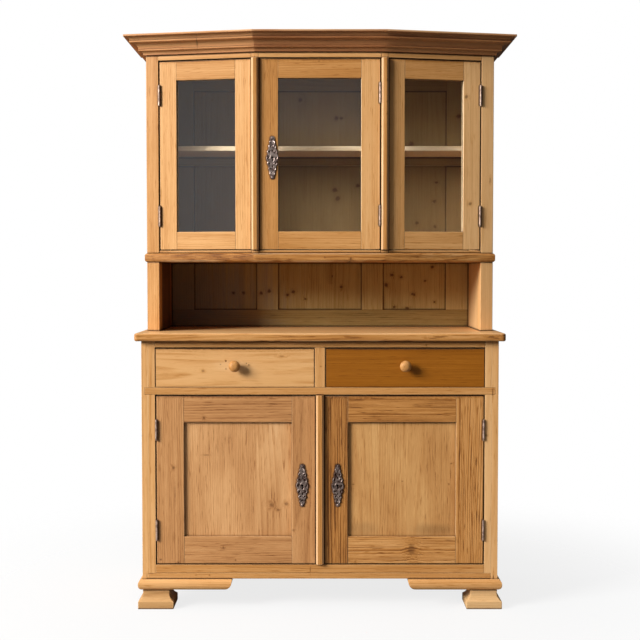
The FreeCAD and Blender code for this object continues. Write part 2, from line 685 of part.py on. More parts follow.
def glazed_door(door, opening, side, stiles, key_x=None):
    low = upper_opening_z + BOTTOM_GAP
    high = frieze_z - TOP_GAP
    left, right = door_edges(opening, side)
    members, clear = frame_members(left, right, low, high, stiles, (UPPER_TOP_RAIL, UPPER_BOTTOM_RAIL))
    seat = DOOR_RECESS + REBATE_LIP
    rebate = box(clear[0] - REBATE_WIDTH, clear[1] + REBATE_WIDTH, seat, door_back,
                 clear[2] - REBATE_WIDTH, clear[3] + REBATE_WIDTH)
    cuts = [rebate]
    if key_x is not None:
        cuts.append(keyhole(key_x, upper_lock_z, 0, door_back))
    edge = REBATE_WIDTH - GLASS_PLAY
    pane = box(clear[0] - edge, clear[1] + edge, seat, seat + GLASS_THICKNESS,
               clear[2] - edge, clear[3] + edge)
    bead_front = seat + GLASS_THICKNESS
    outer = (clear[0] - REBATE_WIDTH, clear[1] + REBATE_WIDTH,
             clear[2] - REBATE_WIDTH, clear[3] + REBATE_WIDTH)
    beads = [box(outer[0], clear[0], bead_front, door_back, outer[2], outer[3]),
             box(clear[1], outer[1], bead_front, door_back, outer[2], outer[3]),
             box(clear[0], clear[1], bead_front, door_back, outer[2], clear[2]),
             box(clear[0], clear[1], bead_front, door_back, clear[3], outer[3])]
    add(door + "_frame", *[opening.place(member.cut(cuts)) for member in members])
    add(door + "_glass", opening.place(pane))
    add(door + "_beads", *[opening.place(bead) for bead in beads])
    add_hinges(door, opening, side, low, high)


def panelled_door(door, opening, side, key_x):
    low = lower_opening_z + BOTTOM_GAP
    high = middle_rail_z - TOP_GAP
    left, right = door_edges(opening, side)
    stiles = (LOWER_HINGE_STILE, LOWER_FREE_STILE)
    if side == "right":
        stiles = stiles[::-1]
    members, clear = frame_members(left, right, low, high, stiles, (LOWER_TOP_RAIL, LOWER_BOTTOM_RAIL))
    front = DOOR_RECESS + PANEL_RECESS
    groove = box(clear[0] - PANEL_GROOVE, clear[1] + PANEL_GROOVE, front, front + PANEL_THICKNESS,
                 clear[2] - PANEL_GROOVE, clear[3] + PANEL_GROOVE)
    edge = PANEL_GROOVE - PANEL_PLAY
    panel = box(clear[0] - edge, clear[1] + edge, front, front + PANEL_THICKNESS,
                clear[2] - edge, clear[3] + edge)
    cuts = [groove, keyhole(key_x, lower_lock_z, 0, door_back)]
    add(door + "_frame", *[opening.place(member.cut(cuts)) for member in members])
    add(door + "_panel", opening.place(panel))
    add_hinges(door, opening, side, low, high)


# Escutcheon and rim lock at a door's free stile
def lock_set(door, opening, side, height):
    """The plate on the face, the case behind the stile and the bolt that it throws."""
    left, right = door_edges(opening, side)
    key_x = right - ESCUTCHEON_FROM_EDGE if side == "left" else left + ESCUTCHEON_FROM_EDGE
    discs = []
    for rise, radius in ESCUTCHEON_DISCS:
        for lift in sorted({rise, -rise}):
            discs.append(cylinder(radius, Vector(key_x, DOOR_RECESS - ESCUTCHEON_THICKNESS, height + lift),
                                  Vector(0, 1, 0), ESCUTCHEON_THICKNESS))
    plate = discs[0].fuse(discs[1:]).removeSplitter()
    plate = plate.cut(keyhole(key_x, height, -ESCUTCHEON_THICKNESS, DOOR_RECESS))
    stop_edge = opening.width - STOP_WIDTH if side == "left" else STOP_WIDTH
    throw = 1 if side == "left" else -1
    case_end = stop_edge - throw * FREE_GAP
    case_start = case_end - throw * LOCK_LENGTH
    case_x = sorted((case_start, case_end))
    case = box(case_x[0], case_x[1], door_back, door_back + LOCK_DEPTH,
               height - LOCK_HEIGHT / 2, height + LOCK_HEIGHT / 2)
    bolt_front = door_back + LOCK_WALL
    bolt_back = door_back + LOCK_DEPTH - LOCK_WALL
    bolt_half = BOLT_HEIGHT / 2
    bolt_x = sorted((case_end, case_end - throw * BOLT_LENGTH))
    bolt = box(bolt_x[0], bolt_x[1], bolt_front, bolt_back, height - bolt_half, height + bolt_half)
    room_x = sorted((case_end, case_end - throw * (BOLT_LENGTH + BOLT_CLEARANCE)))
    room = box(room_x[0], room_x[1], bolt_front - BOLT_CLEARANCE, bolt_back + BOLT_CLEARANCE,
               height - bolt_half - BOLT_CLEARANCE, height + bolt_half + BOLT_CLEARANCE)
    add(door + "_escutcheon", opening.place(plate))
    add(door + "_lock_case", opening.place(case.cut(room)))
    add(door + "_lock_bolt", opening.place(bolt))
    return key_x


glazed_door("upper_left_door", left_opening, "left", (SIDE_DOOR_HINGE_STILE, SIDE_DOOR_FREE_STILE))
middle_key = lock_set("upper_middle_door", middle_opening, "right", upper_lock_z)
glazed_door("upper_middle_door", middle_opening, "right", (MIDDLE_DOOR_STILE, MIDDLE_DOOR_STILE), middle_key)
glazed_door("upper_right_door", right_opening, "right", (SIDE_DOOR_FREE_STILE, SIDE_DOOR_HINGE_STILE))
left_key = lock_set("lower_left_door", lower_left_opening, "left", lower_lock_z)
panelled_door("lower_left_door", lower_left_opening, "left", left_key)
right_key = lock_set("lower_right_door", lower_right_opening, "right", lower_lock_z)
panelled_door("lower_right_door", lower_right_opening, "right", right_key)


# Drawers: a front, a box of two sides, a back and a bottom, and a turned knob
def knob_solid(x, z):
    face = front_y + DOOR_RECESS
    head_start = KNOB_FOOT_LENGTH + KNOB_NECK_LENGTH
    head_middle = (head_start + KNOB_LENGTH) / 2
    points = [Vector(0, DRAWER_FRONT_THICKNESS, 0), Vector(KNOB_TENON_RADIUS, DRAWER_FRONT_THICKNESS, 0),
              Vector(KNOB_TENON_RADIUS, 0, 0), Vector(KNOB_FOOT_RADIUS, 0, 0),
              Vector(KNOB_FOOT_RADIUS, -KNOB_FOOT_LENGTH, 0), Vector(KNOB_NECK_RADIUS, -KNOB_FOOT_LENGTH, 0),
              Vector(KNOB_NECK_RADIUS, -head_start, 0)]
    edges = [Part.makeLine(a, b) for a, b in zip(points, points[1:])]
    rim = Vector(KNOB_RADIUS, -head_middle, 0)
    tip = Vector(KNOB_TIP_RADIUS, -KNOB_LENGTH, 0)
    shoulder = (points[-1] + rim) / 2 + Vector(KNOB_SWELL, KNOB_SWELL, 0)
    crown = (rim + tip) / 2 + Vector(KNOB_SWELL, -KNOB_SWELL, 0)
    edges.append(Part.Arc(points[-1], shoulder, rim).toShape())
    edges.append(Part.Arc(rim, crown, tip).toShape())
    edges.append(Part.makeLine(tip, Vector(0, -KNOB_LENGTH, 0)))
    edges.append(Part.makeLine(Vector(0, -KNOB_LENGTH, 0), points[0]))
    turned = Part.Face(Part.Wire(edges)).revolve(Vector(0, 0, 0), Vector(0, 1, 0), 360)
    turned.translate(Vector(x, face, z))
    return turned


def drawer(name, left, right):
    low = drawer_z + DRAWER_RUNNING_GAP
    high = top_rail_z - DRAWER_TOP_GAP
    face = front_y + DOOR_RECESS
    front_back = face + DRAWER_FRONT_THICKNESS
    front = box(left + DRAWER_SIDE_GAP, right - DRAWER_SIDE_GAP, face, front_back, low, high)
    box_left = left + DRAWER_SIDE_GAP
    box_right = right - DRAWER_SIDE_GAP
    box_back = base_back_y - DRAWER_BACK_GAP
    wall_high = low + DRAWER_WALL_HEIGHT
    sides = [box(box_left, box_left + DRAWER_WALL, front_back, box_back, low, wall_high),
             box(box_right - DRAWER_WALL, box_right, front_back, box_back, low, wall_high)]
    bottom_low = low + DRAWER_BOTTOM_RISE
    bottom = box(box_left + DRAWER_WALL - DRAWER_GROOVE, box_right - DRAWER_WALL + DRAWER_GROOVE,
                 front_back - DRAWER_GROOVE, box_back, bottom_low, bottom_low + DRAWER_BOTTOM_THICKNESS)
    back = box(box_left + DRAWER_WALL, box_right - DRAWER_WALL, box_back - DRAWER_WALL, box_back,
               bottom_low + DRAWER_BOTTOM_THICKNESS, wall_high)
    knob_x = (left + right) / 2
    knob_z = (low + high) / 2 + KNOB_RISE
    hole = cylinder(KNOB_TENON_RADIUS + KNOB_FIT, Vector(knob_x, face, knob_z), Vector(0, 1, 0),
                    DRAWER_FRONT_THICKNESS)
    add(name + "_front", front.cut([bottom, hole]))
    add(name + "_box", *[side.cut(bottom) for side in sides], back, bottom)
    add(name + "_knob", knob_solid(knob_x, knob_z))


drawer("left_drawer", -stile_inner, -half_divider)
drawer("right_drawer", half_divider, stile_inner)

# Runners under the drawers and guides beside them
runner_low = drawer_z - RUNNER_HEIGHT
both_sides("drawer_runners", box(-side_inner, -stile_inner + RUNNER_WIDTH, front_y + STILE_DEPTH, base_back_y,
                                 runner_low, drawer_z))
add("drawer_runners", box(-half_divider - RUNNER_WIDTH, half_divider + RUNNER_WIDTH, rail_back, base_back_y,
                          runner_low, drawer_z))
both_sides("drawer_runners", box(-side_inner, -stile_inner, front_y + STILE_DEPTH, base_back_y,
                                 drawer_z, drawer_z + GUIDE_HEIGHT))
add("drawer_runners", box(-half_divider, half_divider, rail_back, base_back_y,
                          drawer_z, drawer_z + GUIDE_HEIGHT))

# One file for each node
os.makedirs("parts", exist_ok=True)
for name, solids in parts.items():
    shape = solids[0] if len(solids) == 1 else Part.makeCompound(solids)
    shape.exportStep("parts/" + name + ".step")
whole = Part.makeCompound([solid for solids in parts.values() for solid in solids])
bounds = whole.BoundBox
print(len(parts), "nodes,", len(whole.Solids), "solids, valid:", whole.isValid())
print("box", [round(value, 2) for value in (bounds.XMin, bounds.YMin, bounds.ZMin,
                                            bounds.XMax, bounds.YMax, bounds.ZMax)])
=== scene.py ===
import json
import math
import random
from dataclasses import dataclass
from functools import partial, reduce
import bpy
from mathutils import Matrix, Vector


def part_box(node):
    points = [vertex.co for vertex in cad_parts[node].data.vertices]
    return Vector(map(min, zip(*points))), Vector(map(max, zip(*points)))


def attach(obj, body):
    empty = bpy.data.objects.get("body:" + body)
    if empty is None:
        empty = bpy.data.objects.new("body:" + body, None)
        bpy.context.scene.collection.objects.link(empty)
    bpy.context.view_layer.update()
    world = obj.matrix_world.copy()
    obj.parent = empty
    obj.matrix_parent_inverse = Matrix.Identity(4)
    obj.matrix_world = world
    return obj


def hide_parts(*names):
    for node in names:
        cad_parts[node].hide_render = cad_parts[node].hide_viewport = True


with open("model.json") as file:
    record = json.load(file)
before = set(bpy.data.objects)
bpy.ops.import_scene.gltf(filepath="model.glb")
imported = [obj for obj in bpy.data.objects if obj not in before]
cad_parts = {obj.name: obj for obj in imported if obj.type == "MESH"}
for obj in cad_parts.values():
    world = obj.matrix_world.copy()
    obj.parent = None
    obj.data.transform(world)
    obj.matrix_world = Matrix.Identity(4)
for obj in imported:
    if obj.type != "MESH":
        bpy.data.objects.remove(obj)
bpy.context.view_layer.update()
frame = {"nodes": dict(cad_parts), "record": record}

from types import SimpleNamespace

import bmesh
import bpy
import numpy as np
from mathutils import Vector, noise

nodes = frame["nodes"]
bodies = frame["record"]["behaviour"]["bodies"]
body_of = {node: body for body, members in bodies.items() for node in members}
scene = bpy.context.scene
rng = random.Random(11)
knot_rng = random.Random(5)

GLAZED_DOORS = ("upper_left_door", "upper_middle_door", "upper_right_door")
PANELLED_DOORS = ("lower_left_door", "lower_right_door")
LOCKED_DOORS = ("upper_middle_door", "lower_left_door", "lower_right_door")

# Camera, from the photograph's perspective: metres and degrees
CAMERA_PLACE = (0.0, -4.018, 1.1137)
CAMERA_PITCH = 2.455
CAMERA_LENS = 65.59
SENSOR_WIDTH = 36.0

# Light: a window-like key from the left and a soft sky that is brighter on the left
KEY_AZIMUTH = 58.0
KEY_ELEVATION = 21.0
KEY_DISTANCE = 9.0
KEY_SIZE = 3.4
KEY_POWER = 1310.0
KEY_COLOUR = (1.0, 0.99, 0.98)
KEY_TARGET = (0.0, -0.15, 1.0)
SKY_SIDES = ((0.0, 0.5), (0.25, 0.28), (0.5, 0.1), (0.75, 0.04), (1.0, 0.03))
SKY_LOW = 0.04
SKY_TOP = 1.3
SKY_COLOUR = (0.98, 0.985, 1.0, 1.0)
WHITE = (1.0, 1.0, 1.0, 1.0)

# Soft edges in the sky, from no light to full light, in coordinates on a sphere of radius 1
HORIZON = (-0.05, 0.12)
SKY_TOP_EDGE = (0.75, 0.95)

# Two pale walls before the hutch, which the panes mirror and which light the wood only a little
WALL_LEFT = 0.45
WALL_LEFT_SIDES = ((-0.72, -0.58), (-0.22, -0.36))
WALL_LEFT_FOOT = (0.2, 0.0)
WALL_LEFT_GAIN = 0.8
WALL_HIGH = 0.36
WALL_HIGH_SIDES = ((-0.4, -0.2), (0.4, 0.2))
WALL_HIGH_LEVELS = ((0.09, 0.13), (0.5, 0.35))
WALL_AHEAD = (0.0, -0.25)
WALL_SHARE = 0.15

# Floor: it fades out between two radii, glows for the camera and throws back less light
FLOOR_RADII = (0.75, 1.9)
FLOOR_BOUNCE = (0.3, 0.29, 0.28, 1.0)
FLOOR_GLOW = 0.85
FLOOR_LIGHT = 0.95

# Edges: how far the arrises of a board are rounded, and from which angle on
ARRIS = 0.0014
ARRIS_SEGMENTS = 2
ARRIS_PROFILE = 0.6
SHARP_ANGLE = math.radians(28)
FLAT_ANGLE = math.radians(0.4)
SMOOTH_ANGLE = math.radians(33)

# What a board tells its material: place on it, half size, and seed, tone and plank width
WOOD_LAYERS = ("wood_place", "wood_half", "wood_traits")

# A plank width beyond that of any board: such a board is one plank
NO_PLANKS = 10.0

# A board's box is turned only where that leaves less than this share of its area
TURNED_SHARE = 0.98

# The waist board's top: the back is darker above it, behind the glass
VITRINE_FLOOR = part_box("waist_board")[1].z


# Colours
def srgb(red, green, blue):
    """A display colour of 0 to 255 as linear RGBA."""
    values = [value / 255 for value in (red, green, blue)]
    return tuple(v / 12.92 if v <= 0.04045 else ((v + 0.055) / 1.055) ** 2.4 for v in values) + (1.0,)


RAMP_STEPS = (0.0, 0.3, 0.55, 0.8, 1.0)


def wood_ramp(*colours):
    """The steps of a ramp through display colours, from the palest wood to the darkest."""
    return tuple((step, srgb(*colour)) for step, colour in zip(RAMP_STEPS, colours))


HONEY = wood_ramp((238, 190, 132), (219, 164, 103), (191, 132, 69), (152, 95, 40), (98, 56, 22))
BISCUIT = wood_ramp((236, 190, 138), (217, 164, 110), (191, 136, 84), (150, 98, 54), (96, 56, 28))
SAND = wood_ramp((240, 203, 152), (221, 177, 122), (194, 147, 93), (152, 106, 60), (98, 62, 32))
OLIVE = wood_ramp((235, 188, 130), (216, 165, 104), (191, 136, 78), (148, 96, 48), (95, 56, 27))
AMBER = wood_ramp((174, 108, 32), (153, 91, 20), (136, 78, 14), (104, 58, 10), (66, 34, 6))
RUSSET = wood_ramp((222, 163, 106), (190, 129, 80), (152, 95, 57), (104, 60, 34), (58, 31, 16))
BROWN = wood_ramp((216, 189, 130), (192, 163, 104), (160, 129, 72), (116, 90, 46), (68, 50, 25))
DULL = wood_ramp((214, 178, 122), (196, 158, 98), (168, 130, 74), (122, 88, 44), (72, 48, 24))
PALE = wood_ramp((248, 223, 190), (238, 205, 166), (214, 176, 124), (176, 130, 80), (110, 72, 40))
# The darker colour of the back above the waist board, behind the glass
STAIN_COLOUR = srgb(116, 86, 56)
KNOT_COLOUR = srgb(70, 36, 18)
# Dirt, and painted shade in joints, gaps and corners
GRIME_COLOUR = srgb(48, 22, 8)
SHADE_COLOUR = srgb(98, 96, 106)
WORN_COLOUR = srgb(238, 200, 150)
# Wear, and painted highlights on lit faces
CREAM_COLOUR = srgb(246, 218, 176)
SOOT_COLOUR = srgb(16, 9, 7)
PANE_COLOUR = srgb(236, 240, 240)
PANE_SHADOW = (0.9, 0.92, 0.92, 1.0)
FLOOR_COLOURS = ((0.0, srgb(240, 239, 237)), (1.0, srgb(250, 250, 249)))


# Node trees
class Shader:
    """A node tree built with short calls: a socket or a plain value can feed any input."""

    def __init__(self, tree):
        self.tree = tree
        tree.nodes.clear()

    def feed(self, socket, value):
        if isinstance(value, bpy.types.NodeSocket):
            self.tree.links.new(value, socket)
        else:
            socket.default_value = value

    def add(self, kind, inputs=None, **settings):
        """A shader node of a kind, with its settings made and its inputs fed."""
        node = self.tree.nodes.new("ShaderNode" + kind)
        for key, value in settings.items():
            setattr(node, key, value)
        for key, value in (inputs or {}).items():
            self.feed(node.inputs[key], value)
        return node

    def math(self, operation, *values, clamp=False):
        inputs = dict(enumerate(values))
        return self.add("Math", inputs, operation=operation, use_clamp=clamp).outputs[0]

    def vector(self, operation, *values):
        node = self.add("VectorMath", dict(enumerate(values)), operation=operation)
        return node.outputs["Value" if operation == "LENGTH" else "Vector"]

    def total(self, *values):
        return reduce(partial(self.math, "ADD"), values)

    def product(self, *values):
        return reduce(partial(self.math, "MULTIPLY"), values)

    def scaled(self, value, factor):
        """A noise about its mean of one half, times a factor."""
        return self.product(self.math("SUBTRACT", value, 0.5), factor)

    def split(self, socket):
        return self.add("SeparateXYZ", {0: socket}).outputs[:]

    def join(self, x, y, z):
        return self.add("CombineXYZ", {0: x, 1: y, 2: z}).outputs[0]

    def attribute(self, name):
        return self.add("Attribute", attribute_name=name).outputs["Vector"]

    def object_place(self):
        return self.add("TexCoord").outputs["Object"]

    def ray(self, kind):
        return self.add("LightPath").outputs[kind]

    def occlusion(self, distance):
        """Near nought in corners narrower than the distance, and 1 in the open."""
        return self.add("AmbientOcclusion", {"Distance": distance}, samples=6).outputs["AO"]

    def noise(self, place, rates, detail=2.0, roughness=0.5):
        """Noise with a rate of its own along each axis."""
        stretched = self.vector("MULTIPLY", place, rates)
        inputs = {"Vector": stretched, "Scale": 1.0, "Detail": detail, "Roughness": roughness}
        return self.add("TexNoise", inputs).outputs["Fac"]

    def smooth(self, value, low, high):
        """A soft step from nought at low to 1 at high."""
        inputs = {"Value": value, "From Min": low, "From Max": high}
        return self.add("MapRange", inputs, interpolation_type="SMOOTHSTEP").outputs[0]

    def band(self, value, one_edge, other_edge):
        """1 between two soft edges and nought beyond them."""
        return self.product(self.smooth(value, *one_edge), self.smooth(value, *other_edge))

    def ramp(self, value, steps):
        node = self.add("ValToRGB", {"Fac": value})
        elements = node.color_ramp.elements
        while len(elements) < len(steps):
            elements.new(0.5)
        for element, (position, colour) in zip(elements, steps):
            element.position = position
            element.color = colour
        return node.outputs["Color"]

    def mix(self, factor, first, second):
        """One colour fading into another."""
        return self.add("Mix", {0: factor, 6: first, 7: second}, data_type="RGBA").outputs[2]

    def blend(self, factor, first, second):
        """One shader fading into another."""
        return self.add("MixShader", {0: factor, 1: first, 2: second}).outputs[0]

    def bump(self, height, strength, distance, rounding=0.0):
        """A bumped normal, over arrises that look rounded by that radius."""
        inputs = {"Height": height, "Strength": strength, "Distance": distance}
        if rounding:
            inputs["Normal"] = self.add("Bevel", {"Radius": rounding}, samples=4).outputs[0]
        return self.add("Bump", inputs).outputs["Normal"]


class MaterialShader(Shader):
    """The tree of a new material, with a Principled node that feeds the output."""

    def __init__(self, name):
        self.material = bpy.data.materials.new(name)
        self.material.use_nodes = True
        super().__init__(self.material.node_tree)
        self.principled = self.add("BsdfPrincipled")
        self.surface = self.principled.outputs[0]
        self.output = self.add("OutputMaterial", {"Surface": self.surface})

    def put(self, name, value):
        """Feed an input of the Principled node."""
        self.feed(self.principled.inputs[name], value)

    def show(self, surface):
        """Feed another shader to the output."""
        self.feed(self.output.inputs["Surface"], surface)


# Pine
@dataclass
class PineLook:
    """What differs from one pine to another: shares of 1, and metres for reaches, relief and radii."""

    base: float = 0.25  # place on the colour ramp
    ring: float = 0.12  # darkness of the late wood in the rings
    ring_rate: float = 170.0  # rings in a metre
    jumble: float = 3.0  # unevenness of the rings, in rings
    pith: float = 0.7  # how far to the side the pith can lie
    streak: float = 0.36  # contrast of long streaks
    cloud: float = 0.34  # contrast of soft clouds
    fibre: float = 0.22  # contrast of fine fibres
    fleck: float = 0.16  # darkness of the pores
    plank: float = 0.1  # contrast between the planks of a board
    knots: float = 0.06  # share of the cells that hold a knot
    wear: float = 0.5  # paleness of worn arrises
    worn_reach: float = 0.0014  # how far the wear reaches from an arris
    grime: float = 0.7  # painted shade in corners and recesses
    joint: float = 0.85  # dark joint lines, and painted shade in narrow gaps
    roughness: float = 0.46  # mean roughness
    relief: float = 0.0006  # depth of the grain's relief
    rounding: float = 0.0025  # radius by which arrises look rounded
    under: float = 0.0  # painted shade on faces that look down; below nought, painted light
    over: float = 0.0  # painted shade on faces that look up; below nought, painted light
    chamfer: float = 0.0  # painted highlight on slanted front faces
    bare: float = 0.0  # paleness of faces that look sideways: bare wood and painted highlight
    stain: float = 0.0  # darkening behind the glass
    spots: tuple = ()  # marks: x, z, half sizes and strength
    patches: tuple = ()  # soft patches: x, z, half sizes, colour and strength
    inside: tuple = ()  # colour ramp of faces that look inward, which alone take the board's tone


# Noises of the grain: rate along the board, rate across it, and detail
GRAIN = {"drift": (0.9, 6.0, 2.0), "fibres": (30.0, 700.0, 3.0), "pores": (18.0, 260.0, 2.0),
         "streaks": (1.6, 90.0, 4.0), "clouds": (3.0, 8.0, 4.0), "breaks": (5.0, 70.0, 2.0)}

# Factors that tell planks and boards apart
PLANK_STEP = 7.31
SEED_STEP = 97.3
PLANK_SHIFT = (9.0, 9.0, 9.0)

# How far a normal has to point some way to count as facing it
FACING = -0.1

# Knots and the swirls round them: cells in a metre, shift between planks, radii, stretch and darkness
KNOT_CELLS = 4.5
KNOT_SHIFT = 5.0
KNOT_RADIUS = 0.003
KNOT_GROWTH = 0.005
KNOT_STRETCH = (0.75, 1.0, 0.0)
SWIRL_STRETCH = (0.3, 1.0, 0.0)
SWIRL_RADIUS = 0.03
KNOT_DARKNESS = 0.8
SWIRL_DARKNESS = 0.16

# The noise that frays the rims of marks
FRAY_RATES = (140.0, 140.0, 140.0)
FRAY_GAIN = 1.3
FRAY_LEAST = 0.3

# Rings: depth of the pith, how far drift, lean and knots bend them, and their uneven spacing
PITH_DEPTH = 0.05
PITH_RANGE = 0.15
RING_DRIFT = 0.024
RING_LEAN = 0.03
RING_SWIRL = 0.008
RING_NOISE_RATE = 22.0
RING_GAIN = 1.4

# Radii within which joints and corners get dirt and painted shade
JOINT_REACH = 0.006
CORNER_REACH = 0.022

# Soft steps of the pine: where each effect begins and where it is full
KNOT_EDGE = (1.2, 0.5)
SPOT_EDGE = (1.3, 0.5)
SPOT_SWIRL = (3.5, 0.0)
PATCH_EDGE = (1.5, 0.3)
LATE_WOOD = ((0.2, 0.86), (1.0, 0.88))
RING_BREAKS = (0.3, 0.7)
PORE_EDGE = (0.58, 0.74)
STAIN_EDGE = (VITRINE_FLOOR - 0.01, VITRINE_FLOOR)
LOOKS_DOWN = (0.05, -0.7)
LOOKS_UP = (0.6, 0.9)
LOOKS_SIDEWAYS = (0.75, 0.88)
LOOKS_ASLANT = (0.35, 0.5)
LOOKS_AHEAD = (-0.3, -0.5)
WORN_CLOUDS = (0.3, 0.6)
WORN_OPEN = (0.92, 0.99)
PALED_CLOUDS = (0.1, 0.6)
CORNER_DIRT = (0.75, 0.15)
JOINT_DIRT = (0.985, 0.75)

# How far clouds and streaks fray the rim of a patch
PATCH_CLOUDS = 1.6
PATCH_STREAKS = 1.2

# What fibres, clouds, and the dirt and painted shade add to the roughness, and late wood, fibres and knots
# to the height
FIBRE_ROUGHNESS = 0.16
CLOUD_ROUGHNESS = 0.14
DIRT_ROUGHNESS = 0.2
LATE_HEIGHT = 0.6
FIBRE_HEIGHT = 0.35
KNOT_HEIGHT = -0.5
RELIEF_STRENGTH = 0.5
PINE_SPECULAR = 0.25


def board_pattern(s):
    """A point's place on its board, where its face looks, its plank's chances and its grain's noises."""
    wood = SimpleNamespace(place=s.attribute("wood_place"), here=s.object_place())
    wood.flat = s.vector("MULTIPLY", wood.here, (1.0, 0.0, 1.0))
    wood.facing = s.split(s.add("NewGeometry").outputs["Normal"])
    wood.to_front = s.math("LESS_THAN", wood.facing[1], FACING)
    seed, wood.tone, width = s.split(s.attribute("wood_traits"))
    wood.x, wood.y, wood.z = s.split(wood.place)
    plank = s.math("FLOOR", s.total(s.math("DIVIDE", wood.y, width), 0.5))
    key = s.total(s.product(plank, PLANK_STEP), s.product(seed, SEED_STEP))
    chance = s.add("TexWhiteNoise", {"W": key}, noise_dimensions="1D").outputs["Color"]
    wood.chances = s.split(chance)
    moved = s.vector("ADD", wood.place, s.vector("MULTIPLY", chance, PLANK_SHIFT))
    for name, (along, across, detail) in GRAIN.items():
        setattr(wood, name, s.noise(moved, (along, across, across), detail))
    return wood


def from_mark(s, wood, x, z, half_width, half_height):
    """How far a point lies from a mark on the front: 1 on the rim of the mark's ellipse."""
    apart = s.vector("SUBTRACT", wood.flat, (x, 0.0, z))
    return s.vector("LENGTH", s.vector("DIVIDE", apart, (half_width, 1.0, half_height)))


def knot_pattern(s, wood, look):
    """How much a point belongs to a knot, and to the grain that swirls round one.

    Some cells of a flat pattern hold a knot, and the look's spots add theirs."""
    first, second = wood.chances[:2]
    spread_out = s.join(s.total(wood.x, s.product(first, KNOT_SHIFT)),
                        s.total(wood.y, s.product(second, KNOT_SHIFT)), 0.0)
    cell = s.add("TexVoronoi", {"Vector": spread_out, "Scale": KNOT_CELLS},
                 voronoi_dimensions="2D")
    offset = s.vector("SUBTRACT", spread_out, cell.outputs["Position"])
    away = s.vector("LENGTH", s.vector("MULTIPLY", offset, KNOT_STRETCH))
    pulled = s.vector("LENGTH", s.vector("MULTIPLY", offset, SWIRL_STRETCH))
    pick, size = s.split(cell.outputs["Color"])[:2]
    chosen = s.math("LESS_THAN", pick, look.knots)
    radius = s.math("MULTIPLY_ADD", size, KNOT_GROWTH, KNOT_RADIUS)
    knot = s.product(chosen, s.smooth(s.math("DIVIDE", away, radius), *KNOT_EDGE))
    swirl = s.product(chosen, s.smooth(pulled, SWIRL_RADIUS, 0.0))
    wobble = s.math("MULTIPLY_ADD", s.noise(wood.here, FRAY_RATES), FRAY_GAIN, FRAY_LEAST)
    for *mark, weight in look.spots:
        share = s.math("DIVIDE", from_mark(s, wood, *mark), wobble)
        knot = s.math("MAXIMUM", knot, s.product(s.smooth(share, *SPOT_EDGE), weight))
        swirl = s.math("MAXIMUM", swirl, s.smooth(share, *SPOT_SWIRL))
    return knot, swirl


def growth_rings(s, wood, look, swirl):
    """The late wood of rings round a pith beside the board, bent by slow drift and by the knots."""
    first, second, third = wood.chances
    across = s.total(wood.y, s.scaled(second, look.pith))
    deep = s.total(wood.z, s.math("MULTIPLY_ADD", third, PITH_RANGE, PITH_DEPTH))
    straight = s.math("SQRT", s.total(s.product(across, across), s.product(deep, deep)))
    bend = s.total(s.scaled(wood.drift, RING_DRIFT), s.product(wood.x, s.scaled(first, RING_LEAN)),
                   s.product(swirl, RING_SWIRL))
    reach = s.total(straight, bend)
    along_reach = {"W": s.product(reach, RING_NOISE_RATE), "Scale": 1.0, "Detail": 1.0}
    uneven = s.add("TexNoise", along_reach, noise_dimensions="1D").outputs["Fac"]
    phase = s.math("FRACT", s.total(s.product(reach, look.ring_rate), s.product(uneven, look.jumble)))
    return s.band(phase, *LATE_WOOD)


def wood_colour(s, wood, look, ramp, late, swirl):
    """The colour of clean wood: the darkness of its grain, with painted shade on faces by where they look,
    read from the ramp.
    """
    tone = wood.tone
    if look.inside:
        from_middle = s.split(wood.here)[0]
        inward = s.math("LESS_THAN", s.product(from_middle, wood.facing[0]), FACING)
        tone = s.product(tone, inward)
    strength = s.product(s.smooth(wood.breaks, *RING_BREAKS), look.ring * RING_GAIN)
    flecks = s.smooth(wood.pores, *PORE_EDGE)
    depth = s.total(s.product(late, strength), s.scaled(wood.streaks, look.streak),
                    s.scaled(wood.clouds, look.cloud), s.scaled(wood.fibres, look.fibre),
                    s.product(flecks, look.fleck), s.scaled(wood.chances[2], look.plank), tone,
                    s.product(swirl, SWIRL_DARKNESS))
    # Painted shade on faces that look down and up; a negative amount paints light instead
    if look.under:
        depth = s.total(depth, s.product(s.smooth(wood.facing[2], *LOOKS_DOWN), look.under))
    if look.over:
        depth = s.total(depth, s.product(s.smooth(wood.facing[2], *LOOKS_UP), look.over))
    depth = s.math("ADD", depth, look.base, clamp=True)
    colour = s.ramp(depth, ramp)
    if look.inside:
        colour = s.mix(inward, colour, s.ramp(depth, look.inside))
    return colour


def marked_colour(s, wood, look, colour, knot):
    """The colour with soft patches, among them a painted shadow, the darkening behind the glass, and knots.
    """
    for *mark, tint, share in look.patches:
        shape = from_mark(s, wood, *mark)
        blur = s.total(shape, s.scaled(wood.clouds, PATCH_CLOUDS), s.scaled(wood.streaks, PATCH_STREAKS))
        colour = s.mix(s.product(s.smooth(blur, *PATCH_EDGE), wood.to_front, share), colour, tint)
    if look.stain:
        behind_glass = s.product(s.smooth(s.split(wood.here)[2], *STAIN_EDGE), wood.to_front)
        colour = s.mix(s.product(behind_glass, look.stain), colour, STAIN_COLOUR)
    return s.mix(s.product(knot, KNOT_DARKNESS), colour, KNOT_COLOUR)


